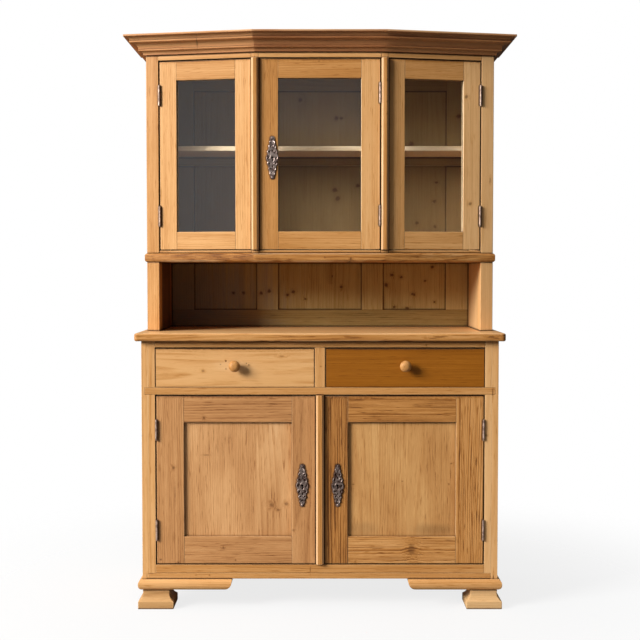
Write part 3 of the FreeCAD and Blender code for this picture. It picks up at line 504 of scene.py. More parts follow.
def aged_colour(s, wood, look, colour):
    """The colour with worn arrises, pale sideways faces and painted highlights, dirt and painted shade in
    joints and corners, and where that dirt and shade lie.
    """
    room = s.vector("SUBTRACT", s.attribute("wood_half"), s.vector("ABSOLUTE", wood.place))
    a, b, c = s.split(room)
    less, more = s.math("MINIMUM", a, b), s.math("MAXIMUM", a, b)
    second_nearest = s.math("MAXIMUM", less, s.math("MINIMUM", more, c))
    tight = s.occlusion(JOINT_REACH)
    rubbed = s.product(s.smooth(second_nearest, look.worn_reach, look.worn_reach / 5),
                       s.smooth(wood.clouds, *WORN_CLOUDS), s.smooth(tight, *WORN_OPEN), look.wear)
    colour = s.mix(rubbed, colour, WORN_COLOUR)
    sideways = s.math("ABSOLUTE", wood.facing[0])
    # Painted highlight on slanted front faces, such as the chamfers of the strips that face the key
    if look.chamfer:
        slanted = s.product(s.smooth(sideways, *LOOKS_ASLANT), s.smooth(wood.facing[1], *LOOKS_AHEAD))
        paled = s.product(slanted, s.smooth(wood.clouds, *PALED_CLOUDS), look.chamfer)
        colour = s.mix(paled, colour, CREAM_COLOUR)
    # Faces that look sideways are paler: bare wood and painted highlight
    if look.bare:
        colour = s.mix(s.product(s.smooth(sideways, *LOOKS_SIDEWAYS), look.bare), colour, CREAM_COLOUR)
    # Painted shade in corners and recesses, and dark joint lines with painted shade in narrow gaps
    hollow = s.occlusion(CORNER_REACH)
    dirt = s.math("MAXIMUM", s.product(s.smooth(hollow, *CORNER_DIRT), look.grime),
                  s.product(s.smooth(tight, *JOINT_DIRT), look.joint))
    return s.mix(dirt, colour, GRIME_COLOUR), dirt


def pine(name, ramp, **changes):
    """Sawn softwood: growth rings about a pith beside the board, fibres, knots, worn arrises, dirt and
    painted shade in joints and corners, and painted highlights.

    A board's own place, half size and traits come from its mesh, so that each board differs."""
    look = PineLook(**changes)
    s = MaterialShader(name)
    wood = board_pattern(s)
    knot, swirl = knot_pattern(s, wood, look)
    late = growth_rings(s, wood, look, swirl)
    clean = wood_colour(s, wood, look, ramp, late, swirl)
    colour, dirt = aged_colour(s, wood, look, marked_colour(s, wood, look, clean, knot))
    dull = s.total(s.scaled(wood.fibres, FIBRE_ROUGHNESS), s.scaled(wood.clouds, CLOUD_ROUGHNESS),
                   s.product(dirt, DIRT_ROUGHNESS))
    height = s.total(s.product(late, LATE_HEIGHT), s.product(wood.fibres, FIBRE_HEIGHT),
                     s.product(knot, KNOT_HEIGHT))
    s.put("Base Color", colour)
    s.put("Roughness", s.math("ADD", dull, look.roughness, clamp=True))
    s.put("Normal", s.bump(height, RELIEF_STRENGTH, look.relief, look.rounding))
    s.put("Specular IOR Level", PINE_SPECULAR)
    return s.material


# Boards cut from the solids
def new_object(name, data):
    """An object in the scene for a mesh, a lamp or a camera."""
    made = bpy.data.objects.new(name, data)
    scene.collection.objects.link(made)
    return made


def solids_of(node):
    """The solids of a CAD node in their order: each is a list of corner points and a list of faces.

    The triangles of a solid follow each other, and a solid is whole when all its edges have met."""
    mesh = nodes[node].data
    points = np.array([vertex.co[:] for vertex in mesh.vertices])
    corners, index = np.unique(np.round(points, 5), axis=0, return_inverse=True)
    index = index.ravel()
    solids, faces, loose = [], [], set()
    for polygon in mesh.polygons:
        face = [int(index[vertex]) for vertex in polygon.vertices]
        faces.append(face)
        for edge in zip(face, face[1:] + face[:1]):
            if edge[::-1] in loose:
                loose.remove(edge[::-1])
            else:
                loose.add(edge)
        if not loose:
            used = sorted({corner for face in faces for corner in face})
            renamed = {corner: place for place, corner in enumerate(used)}
            solids.append((corners[used], [[renamed[corner] for corner in face] for face in faces]))
            faces = []
    return solids


# The cant of the vitrine's side doors, read from the left pane
pane_points = np.array([vertex.co[:2] for vertex in nodes["upper_left_door_glass"].data.vertices])
pane_spread = np.linalg.eigh(np.cov((pane_points - pane_points.mean(0)).T))[1][:, 1]
cant = math.atan(abs(pane_spread[1] / pane_spread[0]))


def board_axes(points, grain):
    """The board's grain, width and thickness directions, its middle and its half sizes."""
    best = None
    for turn in (0.0, cant, -cant):
        cos, sin = math.cos(turn), math.sin(turn)
        axes = np.array([[cos, sin, 0], [-sin, cos, 0], [0, 0, 1]])
        spread = points @ axes.T
        low, high = spread.min(0), spread.max(0)
        area = (high[0] - low[0]) * (high[1] - low[1])
        if best is None or area < best[0] * TURNED_SHARE:
            best = (area, axes, low, high)
    axes, low, high = best[1:]
    size = high - low
    along = {"x": 0, "y": 1, "z": 2}.get(grain, int(np.argmax(size)))
    across, through = sorted((axis for axis in range(3) if axis != along), key=lambda axis: -size[axis])
    order = [along, across, through]
    return axes[order], ((low + high) / 2) @ axes, size[order] / 2


def span(mesh, axis):
    """The least and the greatest place of a mesh along an axis."""
    values = [vertex.co[axis] for vertex in mesh.verts]
    return min(values), max(values)


def slice_along(mesh, axis, step):
    """Cut a mesh by planes across an axis, so that its edges can be worn."""
    low, high = span(mesh, axis)
    normal = Vector([1.0 if index == axis else 0.0 for index in range(3)])
    count = int((high - low) / step)
    for number in range(1, count):
        geometry = mesh.verts[:] + mesh.edges[:] + mesh.faces[:]
        bmesh.ops.bisect_plane(mesh, geom=geometry, dist=1e-6, plane_co=normal * (low + number * step),
                               plane_no=normal)


def rounded_board(points, faces, arris):
    """A solid with its triangles joined to flat faces and its sharp arrises rounded."""
    board = bmesh.new()
    corners = [board.verts.new(point) for point in points]
    for face in faces:
        board.faces.new([corners[corner] for corner in face])
    bmesh.ops.dissolve_limit(board, angle_limit=FLAT_ANGLE, verts=board.verts[:], edges=board.edges[:])
    if arris:
        sharp = [edge for edge in board.edges
                 if len(edge.link_faces) == 2 and edge.calc_face_angle(0.0) > SHARP_ANGLE]
        bmesh.ops.bevel(board, geom=sharp, offset=arris, segments=ARRIS_SEGMENTS, profile=ARRIS_PROFILE,
                        affect="EDGES", clamp_overlap=True)
    return board


def dress(node, material, grain=None, plank=NO_PLANKS, tone=0.0, arris=ARRIS, spread=0.05, shape=None,
          tones=(0.0,)):
    """A wooden piece in place of a CAD node: each solid becomes a rounded board with its own grain.

    The tones go to the boards in turn, and chance adds up to the spread either way."""
    whole = bmesh.new()
    layers = [whole.verts.layers.float_vector.new(name) for name in WOOD_LAYERS]
    for number, (points, faces) in enumerate(solids_of(node)):
        board = rounded_board(points, faces, arris)
        if shape:
            shape(board)
        axes, middle, half = board_axes(points, grain)
        shift = tones[number % len(tones)]
        traits = (rng.random(), tone + shift + rng.uniform(-spread, spread), plank)
        copied = {}
        for vertex in board.verts:
            twin = whole.verts.new(vertex.co)
            local = axes @ (np.array(vertex.co) - middle)
            for layer, values in zip(layers, (local, half, traits)):
                twin[layer] = Vector(values)
            copied[vertex] = twin
        for face in board.faces:
            whole.faces.new([copied[vertex] for vertex in face.verts])
        board.free()
    finish_piece(whole, "_wood", node, material)


def finish_piece(whole, ending, node, material):
    """An object for a finished shape that stands in place of a CAD node."""
    mesh = bpy.data.meshes.new(node + ending)
    whole.to_mesh(mesh)
    whole.free()
    mesh.polygons.foreach_set("use_smooth", [True] * len(mesh.polygons))
    mesh.set_sharp_from_angle(angle=SMOOTH_ANGLE)
    mesh.materials.append(material)
    piece = new_object(mesh.name, mesh)
    weighted = piece.modifiers.new("weighted", "WEIGHTED_NORMAL")
    weighted.keep_sharp = True
    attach(piece, body_of[node])
    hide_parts(node)


def finish_node(node, material):
    """A CAD node that keeps its shape gets a better material."""
    nodes[node].material_slots[0].material = material


# Worn edges: the noise from which wear begins, how far it goes back for each step up, and the sound top
WEAR_START = 0.08
WEAR_BACK = 0.6
UNWORN_TOP = 0.05

# Where in the noise the wear and its fine notches are read, and how much denser the notches are
WEAR_LANE = (3.1, 0.7)
NOTCH_LANE = (8.2, 1.9)
NOTCH_RATE = 4


def wear_edge(step, reach, lift, rate):
    """A shape for dress: the lower front edge, as far back as the reach, worn upward by up to the lift."""
    def shape(board):
        slice_along(board, 0, step)
        front = span(board, 1)[0]
        low, high = span(board, 2)
        for vertex in board.verts:
            near = 1 - (vertex.co.z - low) / (high - low)
            forward = vertex.co.y - front
            if forward < reach and near > UNWORN_TOP:
                along = vertex.co.x * rate
                worn = max(0.0, noise.noise(Vector((along, *WEAR_LANE))) - WEAR_START)
                notches = 0.5 + noise.noise(Vector((along * NOTCH_RATE, *NOTCH_LANE)))
                vertex.co.z += lift * worn * notches * near
                vertex.co.y += WEAR_BACK * lift * worn * notches * near
    return shape


# Marks that the photograph shows, such as knots, nails, cracks and dirt, and painted shadows along gaps: x,
# z, half sizes and strength
SPOT_SIZES = (0.7, 1.15)
SPOT_HEIGHTS = (0.75, 1.1)
# A painted shadow along the top of each door and drawer front: its reach across the front, its height and
# its strength
GAP_REACH = 0.8
GAP_HEIGHT = 0.0035
GAP_STRENGTH = 0.8


def round_spots(radius, weight, places):
    """Marks that are nearly round, each a little different."""
    sizes = [radius * knot_rng.uniform(*SPOT_SIZES) for place in places]
    return [(x, z, size, size * knot_rng.uniform(*SPOT_HEIGHTS), weight)
            for size, (x, z) in zip(sizes, places)]


def middle_of(node):
    """The middle of a CAD node's box."""
    low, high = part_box(node)
    return (low + high) / 2


def top_grime(node):
    """A painted shadow along the upper edge of a door or drawer front, under the gap."""
    low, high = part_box(node)
    return [((low.x + high.x) / 2, high.z, (high.x - low.x) * GAP_REACH, GAP_HEIGHT, GAP_STRENGTH)]


NICHE_KNOTS = round_spots(0.006, 1.0, (
    (-0.316, 1.03), (-0.279, 1.03), (-0.214, 1.03), (-0.185, 1.037), (-0.119, 1.023), (-0.097, 1.034),
    (-0.054, 1.008), (0.078, 1.052), (0.263, 1.096), (0.296, 1.088), (0.241, 1.059), (0.383, 1.074),
    (0.336, 1.026), (0.343, 1.024), (0.409, 1.125), (0.271, 0.979), (0.417, 0.997)))
VITRINE_KNOTS = round_spots(0.009, 0.85, (
    (-0.071, 1.728), (0.059, 1.663), (0.077, 1.663), (0.331, 1.57), (0.501, 1.669), (0.054, 1.404),
    (0.064, 1.373), (0.137, 1.419), (0.351, 1.285), (0.415, 1.363), (0.419, 1.27), (0.422, 1.431)))
PANEL_KNOTS = round_spots(0.006, 0.55, ((-0.16, 0.34), (-0.137, 0.324), (-0.111, 0.344)))
PANEL_SCRATCH = [(-0.374, 0.506, 0.009, 0.0012, 0.6)]
FRAME_KNOTS = round_spots(0.005, 0.6, ((-0.318, 0.2), (-0.481, 0.465), (-0.088, 0.259), (-0.38, 0.63)))
FRAME_NAILS = round_spots(0.002, 0.8, ((-0.524, 0.161), (-0.466, 0.152), (-0.475, 0.149), (-0.278, 0.159)))
FRAME_CRACK = [(-0.476, 0.378, 0.001, 0.026, 0.7)]
RIGHT_FRAME_KNOTS = [(0.301, 0.196, 0.012, 0.02, 0.5)]
RIGHT_FRAME_NAILS = round_spots(0.002, 0.8, ((0.116, 0.154), (0.353, 0.147), (0.261, 0.691)))
PANEL_DOTS = round_spots(0.0022, 0.7, ((0.424, 0.41), (0.432, 0.478), (0.271, 0.419), (0.109, 0.409)))
PANEL_CRACK = [(0.347, 0.302, 0.0009, 0.012, 0.6)]
BASE_NAILS = round_spots(0.002, 0.8, (
    (-0.408, 0.11), (-0.364, 0.11), (0.003, 0.799), (0.347, 0.868), (0.54, 0.559)))
BASE_CRACKS = [
    (-0.568, 0.099, 0.004, 0.003, 0.95), (-0.556, 0.115, 0.012, 0.0009, 0.6),
    (-0.57, 0.108, 0.0009, 0.007, 0.6), (-0.032, 0.127, 0.001, 0.009, 0.7),
    (-0.038, 0.118, 0.007, 0.0009, 0.6), (0.544, 0.573, 0.004, 0.003, 0.5),
    (0.565, 0.713, 0.0014, 0.014, 0.8), (0.571, 0.102, 0.0016, 0.01, 0.9),
    (0.571, 1.414, 0.0025, 0.012, 0.5)]
BASE_MARKS = BASE_NAILS + BASE_CRACKS
WORKTOP_MARKS = [
    (0.598, 0.897, 0.006, 0.012, 0.5), (0.386, 0.896, 0.018, 0.003, 0.5),
    (0.366, 0.892, 0.014, 0.0018, 0.5), (0.404, 0.899, 0.01, 0.0015, 0.5),
    (0.556, 0.897, 0.013, 0.0035, 0.6), (0.572, 0.892, 0.01, 0.002, 0.5),
    (0.11, 0.894, 0.02, 0.0014, 0.5), (-0.1, 0.899, 0.016, 0.0012, 0.4)]
RIGHT_UPPER_KNOTS = round_spots(0.006, 0.7, ((0.503, 1.335), (0.488, 1.69)))
knob_middle = middle_of("left_drawer_knob")
SCREW_OFFSETS = ((-0.047, 0.005), (-0.029, 0.016), (-0.029, -0.01), (0.038, 0.008), (0.046, 0.003))
SCREW_HOLES = round_spots(0.0028, 0.95, [(knob_middle.x + across, knob_middle.z + up)
                                         for across, up in SCREW_OFFSETS])
DRAWER_KNOTS = [(-0.382, 0.784, 0.005, 0.004, 0.5), (-0.126, 0.832, 0.01, 0.003, 0.35)]
STRIP_NAILS = round_spots(0.0026, 0.7, ((0.221, 1.735), (0.221, 1.666), (0.22, 1.626)))
SPLICE = [(-0.404, 1.858, 0.0016, 0.016, 0.8)]
WAIST_MARKS = [
    (0.102, 1.15, 0.004, 0.005, 0.9), (0.098, 1.141, 0.005, 0.003, 1.0),
    (0.016, 1.156, 0.002, 0.002, 0.9), (-0.19, 1.166, 0.01, 0.0016, 0.6)]
NICHE_SPOT = [(0.318, 0.975, 0.009, 0.004, 0.9)]

# Painted shade on the wood that shows through each keyhole, a little below the middle of its plate
KEYHOLE_DROP = 0.003
keyholes = [middle_of(door + "_escutcheon") for door in LOCKED_DOORS]
KEYHOLE_DIRT = [(place.x, place.z - KEYHOLE_DROP, 0.006, 0.011, 1.0) for place in keyholes]

# Soft patches that the photograph shows: x, z, half sizes, colour and strength
HANDLE_GHOST = ((knob_middle.x, knob_middle.z, 0.05, 0.016, WORN_COLOUR, 0.3),)
PANEL_GRIME = ((0.385, 0.258, 0.07, 0.02, GRIME_COLOUR, 0.3),
               (0.14, 0.258, 0.05, 0.024, GRIME_COLOUR, 0.22))
WAIST_WEAR = ((0.016, 1.139, 0.12, 0.004, CREAM_COLOUR, 0.6),
              (-0.42, 1.142, 0.12, 0.006, WORN_COLOUR, 0.5),
              (0.37, 1.16, 0.16, 0.005, GRIME_COLOUR, 0.35))
# A painted shadow over the left of the niche
NICHE_GRIME = ((-0.48, 1.03, 0.28, 0.17, SHADE_COLOUR, 0.65),)

# Pines of the case
plain = pine("pine", HONEY, streak=0.46, fleck=0.24, rounding=0.004, spots=BASE_MARKS)
stile_pine = pine(
    "pine_base_stiles", HONEY, streak=0.46, fleck=0.24, grime=0.4, joint=0.2, rounding=0.0015,
    spots=BASE_MARKS)
foot_pine = pine("pine_feet", SAND, base=0.4, wear=0.4, worn_reach=0.005, fleck=0.24, knots=0.0)
bracket_pine = pine(
    "pine_brackets", HONEY, base=0.3, cloud=0.6, fleck=0.24, knots=0.0, wear=0.4, worn_reach=0.005)
# The worktop's top is paler: wear and painted light
top_pine = pine(
    "pine_worktop", HONEY, base=0.54, ring=0.2, streak=0.44, cloud=0.46, fleck=0.3, knots=0.12,
    wear=0.6, worn_reach=0.005, roughness=0.38, over=-0.4, spots=WORKTOP_MARKS)
waist_pine = pine(
    "pine_waist", HONEY, base=0.58, ring=0.2, streak=0.8, cloud=0.8, fleck=0.3, knots=0.08, wear=0.7,
    worn_reach=0.006, spots=WAIST_MARKS, patches=WAIST_WEAR)
side_pine = pine("pine_upper_sides", HONEY, base=0.35, inside=SAND)
strip_pine = pine(
    "pine_strips", HONEY, base=0.5, wear=0.7, worn_reach=0.002, chamfer=0.42, knots=0.02,
    spots=STRIP_NAILS)
# The cornice's faces that look down are paler: painted light
dark = pine(
    "pine_cornice", RUSSET, base=0.28, streak=0.36, knots=0.03, wear=0.6, worn_reach=0.007, grime=0.35,
    roughness=0.42, under=-0.26, spots=SPLICE)
back = pine(
    "pine_back", BROWN, base=0.31, streak=0.26, cloud=0.44, knots=0.04, wear=0.0, grime=0.9,
    roughness=0.55, spots=NICHE_KNOTS + NICHE_SPOT + VITRINE_KNOTS, patches=NICHE_GRIME, stain=0.75)
inner = pine("pine_inner", DULL, base=0.16, ring=0.16, streak=0.3, knots=0.15, grime=0.5, roughness=0.58)
# The shelf is paler than the rest: painted light for its lit front edge
shelf_pine = pine("pine_shelf", PALE, base=0.18, streak=0.2, cloud=0.2, knots=0.04, grime=0.3)

# Pines of the doors and drawers
# The doors' sideways faces are paler: bare wood and painted highlight
UPPER_DOOR = {"base": 0.24, "streak": 0.42, "cloud": 0.3, "fleck": 0.26, "knots": 0.02, "bare": 0.7}
door_pine = pine(
    "pine_upper_doors", HONEY, **UPPER_DOOR,
    spots=KEYHOLE_DIRT[:1] + top_grime("upper_left_door_frame") + top_grime("upper_middle_door_frame"))
right_door_pine = pine(
    "pine_right_door", HONEY, **UPPER_DOOR,
    spots=RIGHT_UPPER_KNOTS + top_grime("upper_right_door_frame"))
lower_pine = pine(
    "pine_lower_doors", BISCUIT, base=0.46, ring=0.14, streak=0.4, fleck=0.26, knots=0.03, grime=0.75,
    fibre=0.32, bare=0.4, rounding=0.005,
    spots=FRAME_KNOTS + FRAME_NAILS + FRAME_CRACK + KEYHOLE_DIRT[1:2] + top_grime("lower_left_door_frame"))
weathered = pine(
    "pine_weathered", HONEY, base=0.5, ring=0.36, streak=0.44, ring_rate=165.0, jumble=7.0, knots=0.03,
    fibre=0.34, fleck=0.4, bare=0.4, relief=0.0016, grime=0.75, roughness=0.52, rounding=0.005,
    spots=RIGHT_FRAME_KNOTS + RIGHT_FRAME_NAILS + KEYHOLE_DIRT[2:] + top_grime("lower_right_door_frame"))
panel_pine = pine(
    "pine_panels", BISCUIT, base=0.36, ring=0.14, streak=0.26, cloud=0.9, fibre=0.36, fleck=0.32,
    knots=0.02, grime=0.4, joint=0.3, plank=0.04, spots=PANEL_KNOTS + PANEL_SCRATCH)
right_panel_pine = pine(
    "pine_right_panel", OLIVE, base=0.36, ring=0.1, streak=0.16, cloud=0.7, fibre=0.36, fleck=0.28,
    knots=0.02, grime=0.45, joint=0.3, plank=0.04, spots=PANEL_DOTS + PANEL_CRACK, patches=PANEL_GRIME)
drawer_pine = pine(
    "pine_left_drawer", HONEY, base=0.22, ring=0.17, ring_rate=130.0, pith=0.1, streak=0.16,
    cloud=0.26, jumble=1.5, knots=0.0,
    spots=DRAWER_KNOTS + SCREW_HOLES + top_grime("left_drawer_front"), patches=HANDLE_GHOST)
amber = pine(
    "pine_amber", AMBER, base=0.24, streak=0.62, cloud=0.36, fleck=0.36, knots=0.0, roughness=0.4,
    spots=top_grime("right_drawer_front"))
knob_pine = pine("pine_knob", HONEY, base=0.36, ring=0.2, ring_rate=300.0, streak=0.12, knots=0.0, wear=0.0)

# Case
dress("feet", foot_pine, grain="x", arris=0.007, spread=0.0, tones=(0.1, -0.12, 0.0, 0.0))
dress("foot_brackets", bracket_pine, spread=0.02, tones=(-0.02, 0.02))
dress("base_bottom_board", plain, grain="x", tone=0.12)
dress("base_sides", stile_pine, grain="z", plank=0.16, tone=0.03, arris=0.0005)
dress("base_stiles", stile_pine, grain="z", tones=(0.06, -0.06), arris=0.0005)
dress("base_rails", plain, grain="x", tones=(0.16, 0.15, 0.22))
dress("drawer_divider", plain, grain="z", tone=0.06)
dress("base_centre_post", plain, grain="z", tone=0.2)
dress("base_back_boards", inner, grain="z")
dress("base_shelf", inner, grain="x", plank=0.13)
dress("shelf_cleats", back)
dress("drawer_runners", inner)
dress("worktop", top_pine, grain="x", plank=0.165, arris=0.0,
      shape=wear_edge(step=0.012, reach=0.012, lift=0.003, rate=9.0))
dress("upper_posts", plain, grain="z", tones=(0.12, -0.12, 0.18, -0.2, 0.4, 0.05, 0.05, 0.05))
# The left board's inner face is darkened: painted shade
dress("upper_side_boards", side_pine, grain="z", plank=0.13, tones=(0.65, -0.08), spread=0.0)
dress("waist_board", waist_pine, grain="x", plank=0.13, arris=0.0,
      shape=wear_edge(step=0.01, reach=0.05, lift=0.006, rate=12.0))
dress("upper_rails", plain, tone=0.12)
dress("mullions", plain, grain="z", tone=0.12)
dress("cover_strips", strip_pine, grain="z", arris=0.0008)
dress("vitrine_shelf", shelf_pine, grain="x", plank=0.14)
dress("vitrine_top_board", inner, grain="x", plank=0.14)
# The left runs are paler and the front and right runs darker: painted light and shade
dress("cornice", dark, arris=0.0008, spread=0.0, tones=(-0.09, -0.09, 0.22, 0.16, 0.16))
dress("back_stiles", back, grain="z")
dress("back_rails", back, grain="x", tone=0.16)
dress("back_panels", back, grain="z", plank=0.095)

# Doors and drawers: the tones are those of left stile, right stile, bottom rail and top rail
dress("upper_left_door_frame", door_pine, tones=(0.06, 0.02, 0.11, 0.09))
dress("upper_middle_door_frame", door_pine, tones=(0.3, 0.04, 0.2, 0.24))
dress("upper_right_door_frame", right_door_pine, tones=(0.02, -0.14, 0.06, 0.2))
for door in GLAZED_DOORS:
    dress(door + "_beads", door_pine, tone=0.1)
dress("lower_left_door_frame", lower_pine, tones=(0.02, 0.0, 0.1, 0.08))
dress("lower_right_door_frame", weathered, tones=(0.08, -0.04, -0.02, 0.12))
dress("lower_left_door_panel", panel_pine, grain="z", plank=0.12)
dress("lower_right_door_panel", right_panel_pine, grain="z", plank=0.15, tone=0.08)
dress("left_drawer_front", drawer_pine, grain="x")
dress("right_drawer_front", amber, grain="x")
for drawer, knob_tone in (("left_drawer", 0.1), ("right_drawer", 0.0)):
    dress(drawer + "_box", inner)
    dress(drawer + "_knob", knob_pine, grain="y", arris=0.0, tone=knob_tone)


# Metal and glass
def aged_metal(name, bright, tarnish, rust, roughness, metallic):
    """Old metal with tarnish in patches, rust specks, soot in the hollows and fine pitting."""
    s = MaterialShader(name)
    place = s.object_place()
    patches = s.noise(place, (90.0, 90.0, 90.0), 4.0)
    pits = s.noise(place, (700.0, 700.0, 700.0))
    colour = s.mix(s.smooth(patches, 0.35, 0.65), bright, tarnish)
    colour = s.mix(s.product(s.smooth(pits, 0.6, 0.8), 0.6), colour, rust)
    s.put("Base Color", s.mix(s.smooth(s.occlusion(0.005), 0.9, 0.4), colour, SOOT_COLOUR))
    s.put("Roughness", s.total(s.scaled(patches, 0.3), s.scaled(pits, 0.2), roughness))
    s.put("Normal", s.bump(pits, 0.4, 0.0004))
    s.put("Metallic", metallic)
    return s.material


steel = aged_metal("steel_hinge", srgb(190, 164, 146), srgb(126, 102, 88), srgb(120, 78, 52),
                   roughness=0.45, metallic=0.45)
bronze = aged_metal("bronze_cast", srgb(190, 170, 160), srgb(82, 60, 53), srgb(92, 62, 48),
                    roughness=0.33, metallic=0.75)
iron = aged_metal("iron_lock", srgb(90, 84, 80), srgb(52, 46, 44), srgb(92, 54, 32),
                  roughness=0.5, metallic=0.8)


def old_glass(name):
    """A drawn pane: a faint grey tint, a slow ripple and a little dust. Lamps shine through it."""
    s = MaterialShader(name)
    place = s.object_place()
    ripple = s.noise(place, (5.0, 5.0, 2.2), 1.0)
    dust = s.noise(place, (14.0, 14.0, 9.0), 5.0, 0.7)
    s.put("Base Color", PANE_COLOUR)
    s.put("Transmission Weight", 1.0)
    s.put("IOR", 1.5)
    s.put("Roughness", s.product(s.smooth(dust, 0.45, 0.8), 0.05))
    s.put("Normal", s.bump(ripple, 0.12, 0.002))
    clear = s.add("BsdfTransparent", {"Color": PANE_SHADOW}).outputs[0]
    s.show(s.blend(s.ray("Is Shadow Ray"), s.surface, clear))
    return s.material


glass = old_glass("glass_pane")
for door in GLAZED_DOORS:
    finish_node(door + "_glass", glass)
for door in GLAZED_DOORS + PANELLED_DOORS:
    finish_node(door + "_hinge_leaves", steel)
finish_node("fixed_hinge_leaves", steel)
finish_node("hinge_pins", steel)


# Escutcheons: a pierced cast plate with scrolls in relief round a keyhole, in millimetres from its middle
MM = 0.001

# The outline's right half, from bottom to top
PLATE_HALF = [
    (2, -69), (6, -66), (5.5, -60), (6.5, -55), (9, -50), (8, -46), (11, -41), (12.5, -35),
    (10.5, -30), (14, -25), (16.5, -19), (14.5, -14), (18, -9), (19.5, -2), (18.5, 6), (14.5, 12),
    (16, 18), (14.5, 25), (10.5, 29), (12.5, 35), (11, 41), (8, 45), (8.5, 50), (6.5, 55),
    (6, 59), (7.5, 63), (6, 68), (2, 69.5)]

# Piercings of the right half and the middle, and the rim of the keyhole: x, z, half width and half height
PIERCINGS = [
    (9, 20, 2.8, 4.4), (9, -20, 2.8, 4.4), (6.5, 36.5, 2.4, 4.4), (6.5, -36.5, 2.4, 4.4),
    (13.2, -1, 2.2, 4.6), (0, 25, 2.6, 4.6), (0, -28, 2.6, 4.6), (0, 46, 1.8, 4.2),
    (0, -48, 1.8, 4.2)]
RIM = (0, -2.5, 8, 12)
RIM_POINTS = 16
RIM_WIDTH = 0.8

# Scrolls of one quarter: x, z, first and last radius, first and last angle in degrees
SCROLLS = [
    (9.5, 19, 6.6, 3.6, -100, 230), (6.4, 37, 5.4, 3, -110, 240),
    (4.4, 52, 4, 2, -120, 200), (12.5, 0, 6.5, 4.5, -80, 80)]
SCROLL_POINTS = 14

# Width of a scroll at its ends, how far it swells, and how soon
SCROLL_WIDTH = 0.55
SCROLL_SWELL = 0.6
SCROLL_START = 0.15

# Beads of one quarter: x, z and radius
BEADS = [(0.0, 33.5, 2.2), (0.0, 54.0, 2.0), (0.0, 64.0, 4.0), (17.0, 0.0, 1.8)]
BEAD_HEIGHT = 0.8

# Keyhole: radius of the eye, width and reach of the slot, and the eye's angles in degrees
KEYHOLE = (4.5, 4.4, 12.0)
KEYHOLE_TURNS = range(-150, 151, 25)

# Thickness of the plate, its rounded edge and the thickness of the scrolls, in metres
PLATE_THICKNESS = 0.0026
PLATE_BEVEL = 0.0004
SCROLL_BEVEL = 0.0018


def ellipse(x, z, width, height, count=12):
    turns = [2 * math.pi * index / count for index in range(count)]
    return [(x + width * math.cos(turn), z + height * math.sin(turn)) for turn in turns]


def both_signs(value):
    """The signs with which a value is mirrored: nought stays single."""
    return (1, -1) if value else (1,)


def add_spline(curve, points, height=0.0, widths=(), closed=True):
    """A smooth line by points in millimetres, at a height above the plate's middle."""
    spline = curve.splines.new("NURBS")
    spline.points.add(len(points) - 1)
    for point, (x, z) in zip(spline.points, points):
        point.co = (x * MM, z * MM, height, 1.0)
    for point, width in zip(spline.points, widths):
        point.radius = width
    spline.use_cyclic_u = closed
    spline.order_u = 3
    spline.use_endpoint_u = not closed


def curve_mesh(curve):
    """The mesh of a curve, which is then removed."""
    holder = bpy.data.objects.new("curve_holder", curve)
    mesh = bpy.data.meshes.new_from_object(holder)
    bpy.data.objects.remove(holder)
    bpy.data.curves.remove(curve)
    return mesh


def plate_mesh():
    """The flat plate with its piercings and keyhole."""
    curve = bpy.data.curves.new("plate", "CURVE")
    curve.dimensions = "2D"
    curve.fill_mode = "BOTH"
    curve.extrude = PLATE_THICKNESS / 2
    curve.bevel_depth = PLATE_BEVEL
    curve.bevel_resolution = 1
    curve.resolution_u = 5
    add_spline(curve, PLATE_HALF + [(-x, z) for x, z in reversed(PLATE_HALF)])
    for x, z, width, height in PIERCINGS:
        for side in both_signs(x):
            add_spline(curve, ellipse(side * x, z, width, height))
    radius, slot, length = KEYHOLE
    turns = [math.radians(degrees) for degrees in KEYHOLE_TURNS]
    eye = [(radius * math.sin(turn), radius * math.cos(turn)) for turn in turns]
    add_spline(curve, [(-slot / 2, -length)] * 2 + eye + [(slot / 2, -length)] * 2)
    return curve_mesh(curve)


def scroll_mesh():
    """The scrolls in the plate's four quarters and the rim round its keyhole."""
    curve = bpy.data.curves.new("scrolls", "CURVE")
    curve.dimensions = "3D"
    curve.bevel_depth = SCROLL_BEVEL
    curve.bevel_resolution = 2
    curve.use_fill_caps = True
    curve.resolution_u = 4
    shares = [index / (SCROLL_POINTS - 1) for index in range(SCROLL_POINTS)]
    widths = [SCROLL_WIDTH + SCROLL_SWELL * math.sin(math.pi * min(1.0, SCROLL_START + share))
              for share in shares]
    for side in (1, -1):
        for flip in (1, -1):
            for x, z, start, end, first, last in SCROLLS:
                points = []
                for share in shares:
                    turn = math.radians(first + (last - first) * share)
                    radius = start + (end - start) * share
                    across, up = x + radius * math.cos(turn), z + radius * math.sin(turn)
                    points.append((side * across, flip * up))
                add_spline(curve, points, PLATE_THICKNESS / 2, widths, closed=False)
    add_spline(curve, ellipse(*RIM, RIM_POINTS), PLATE_THICKNESS / 2, [RIM_WIDTH] * RIM_POINTS)
    return curve_mesh(curve)


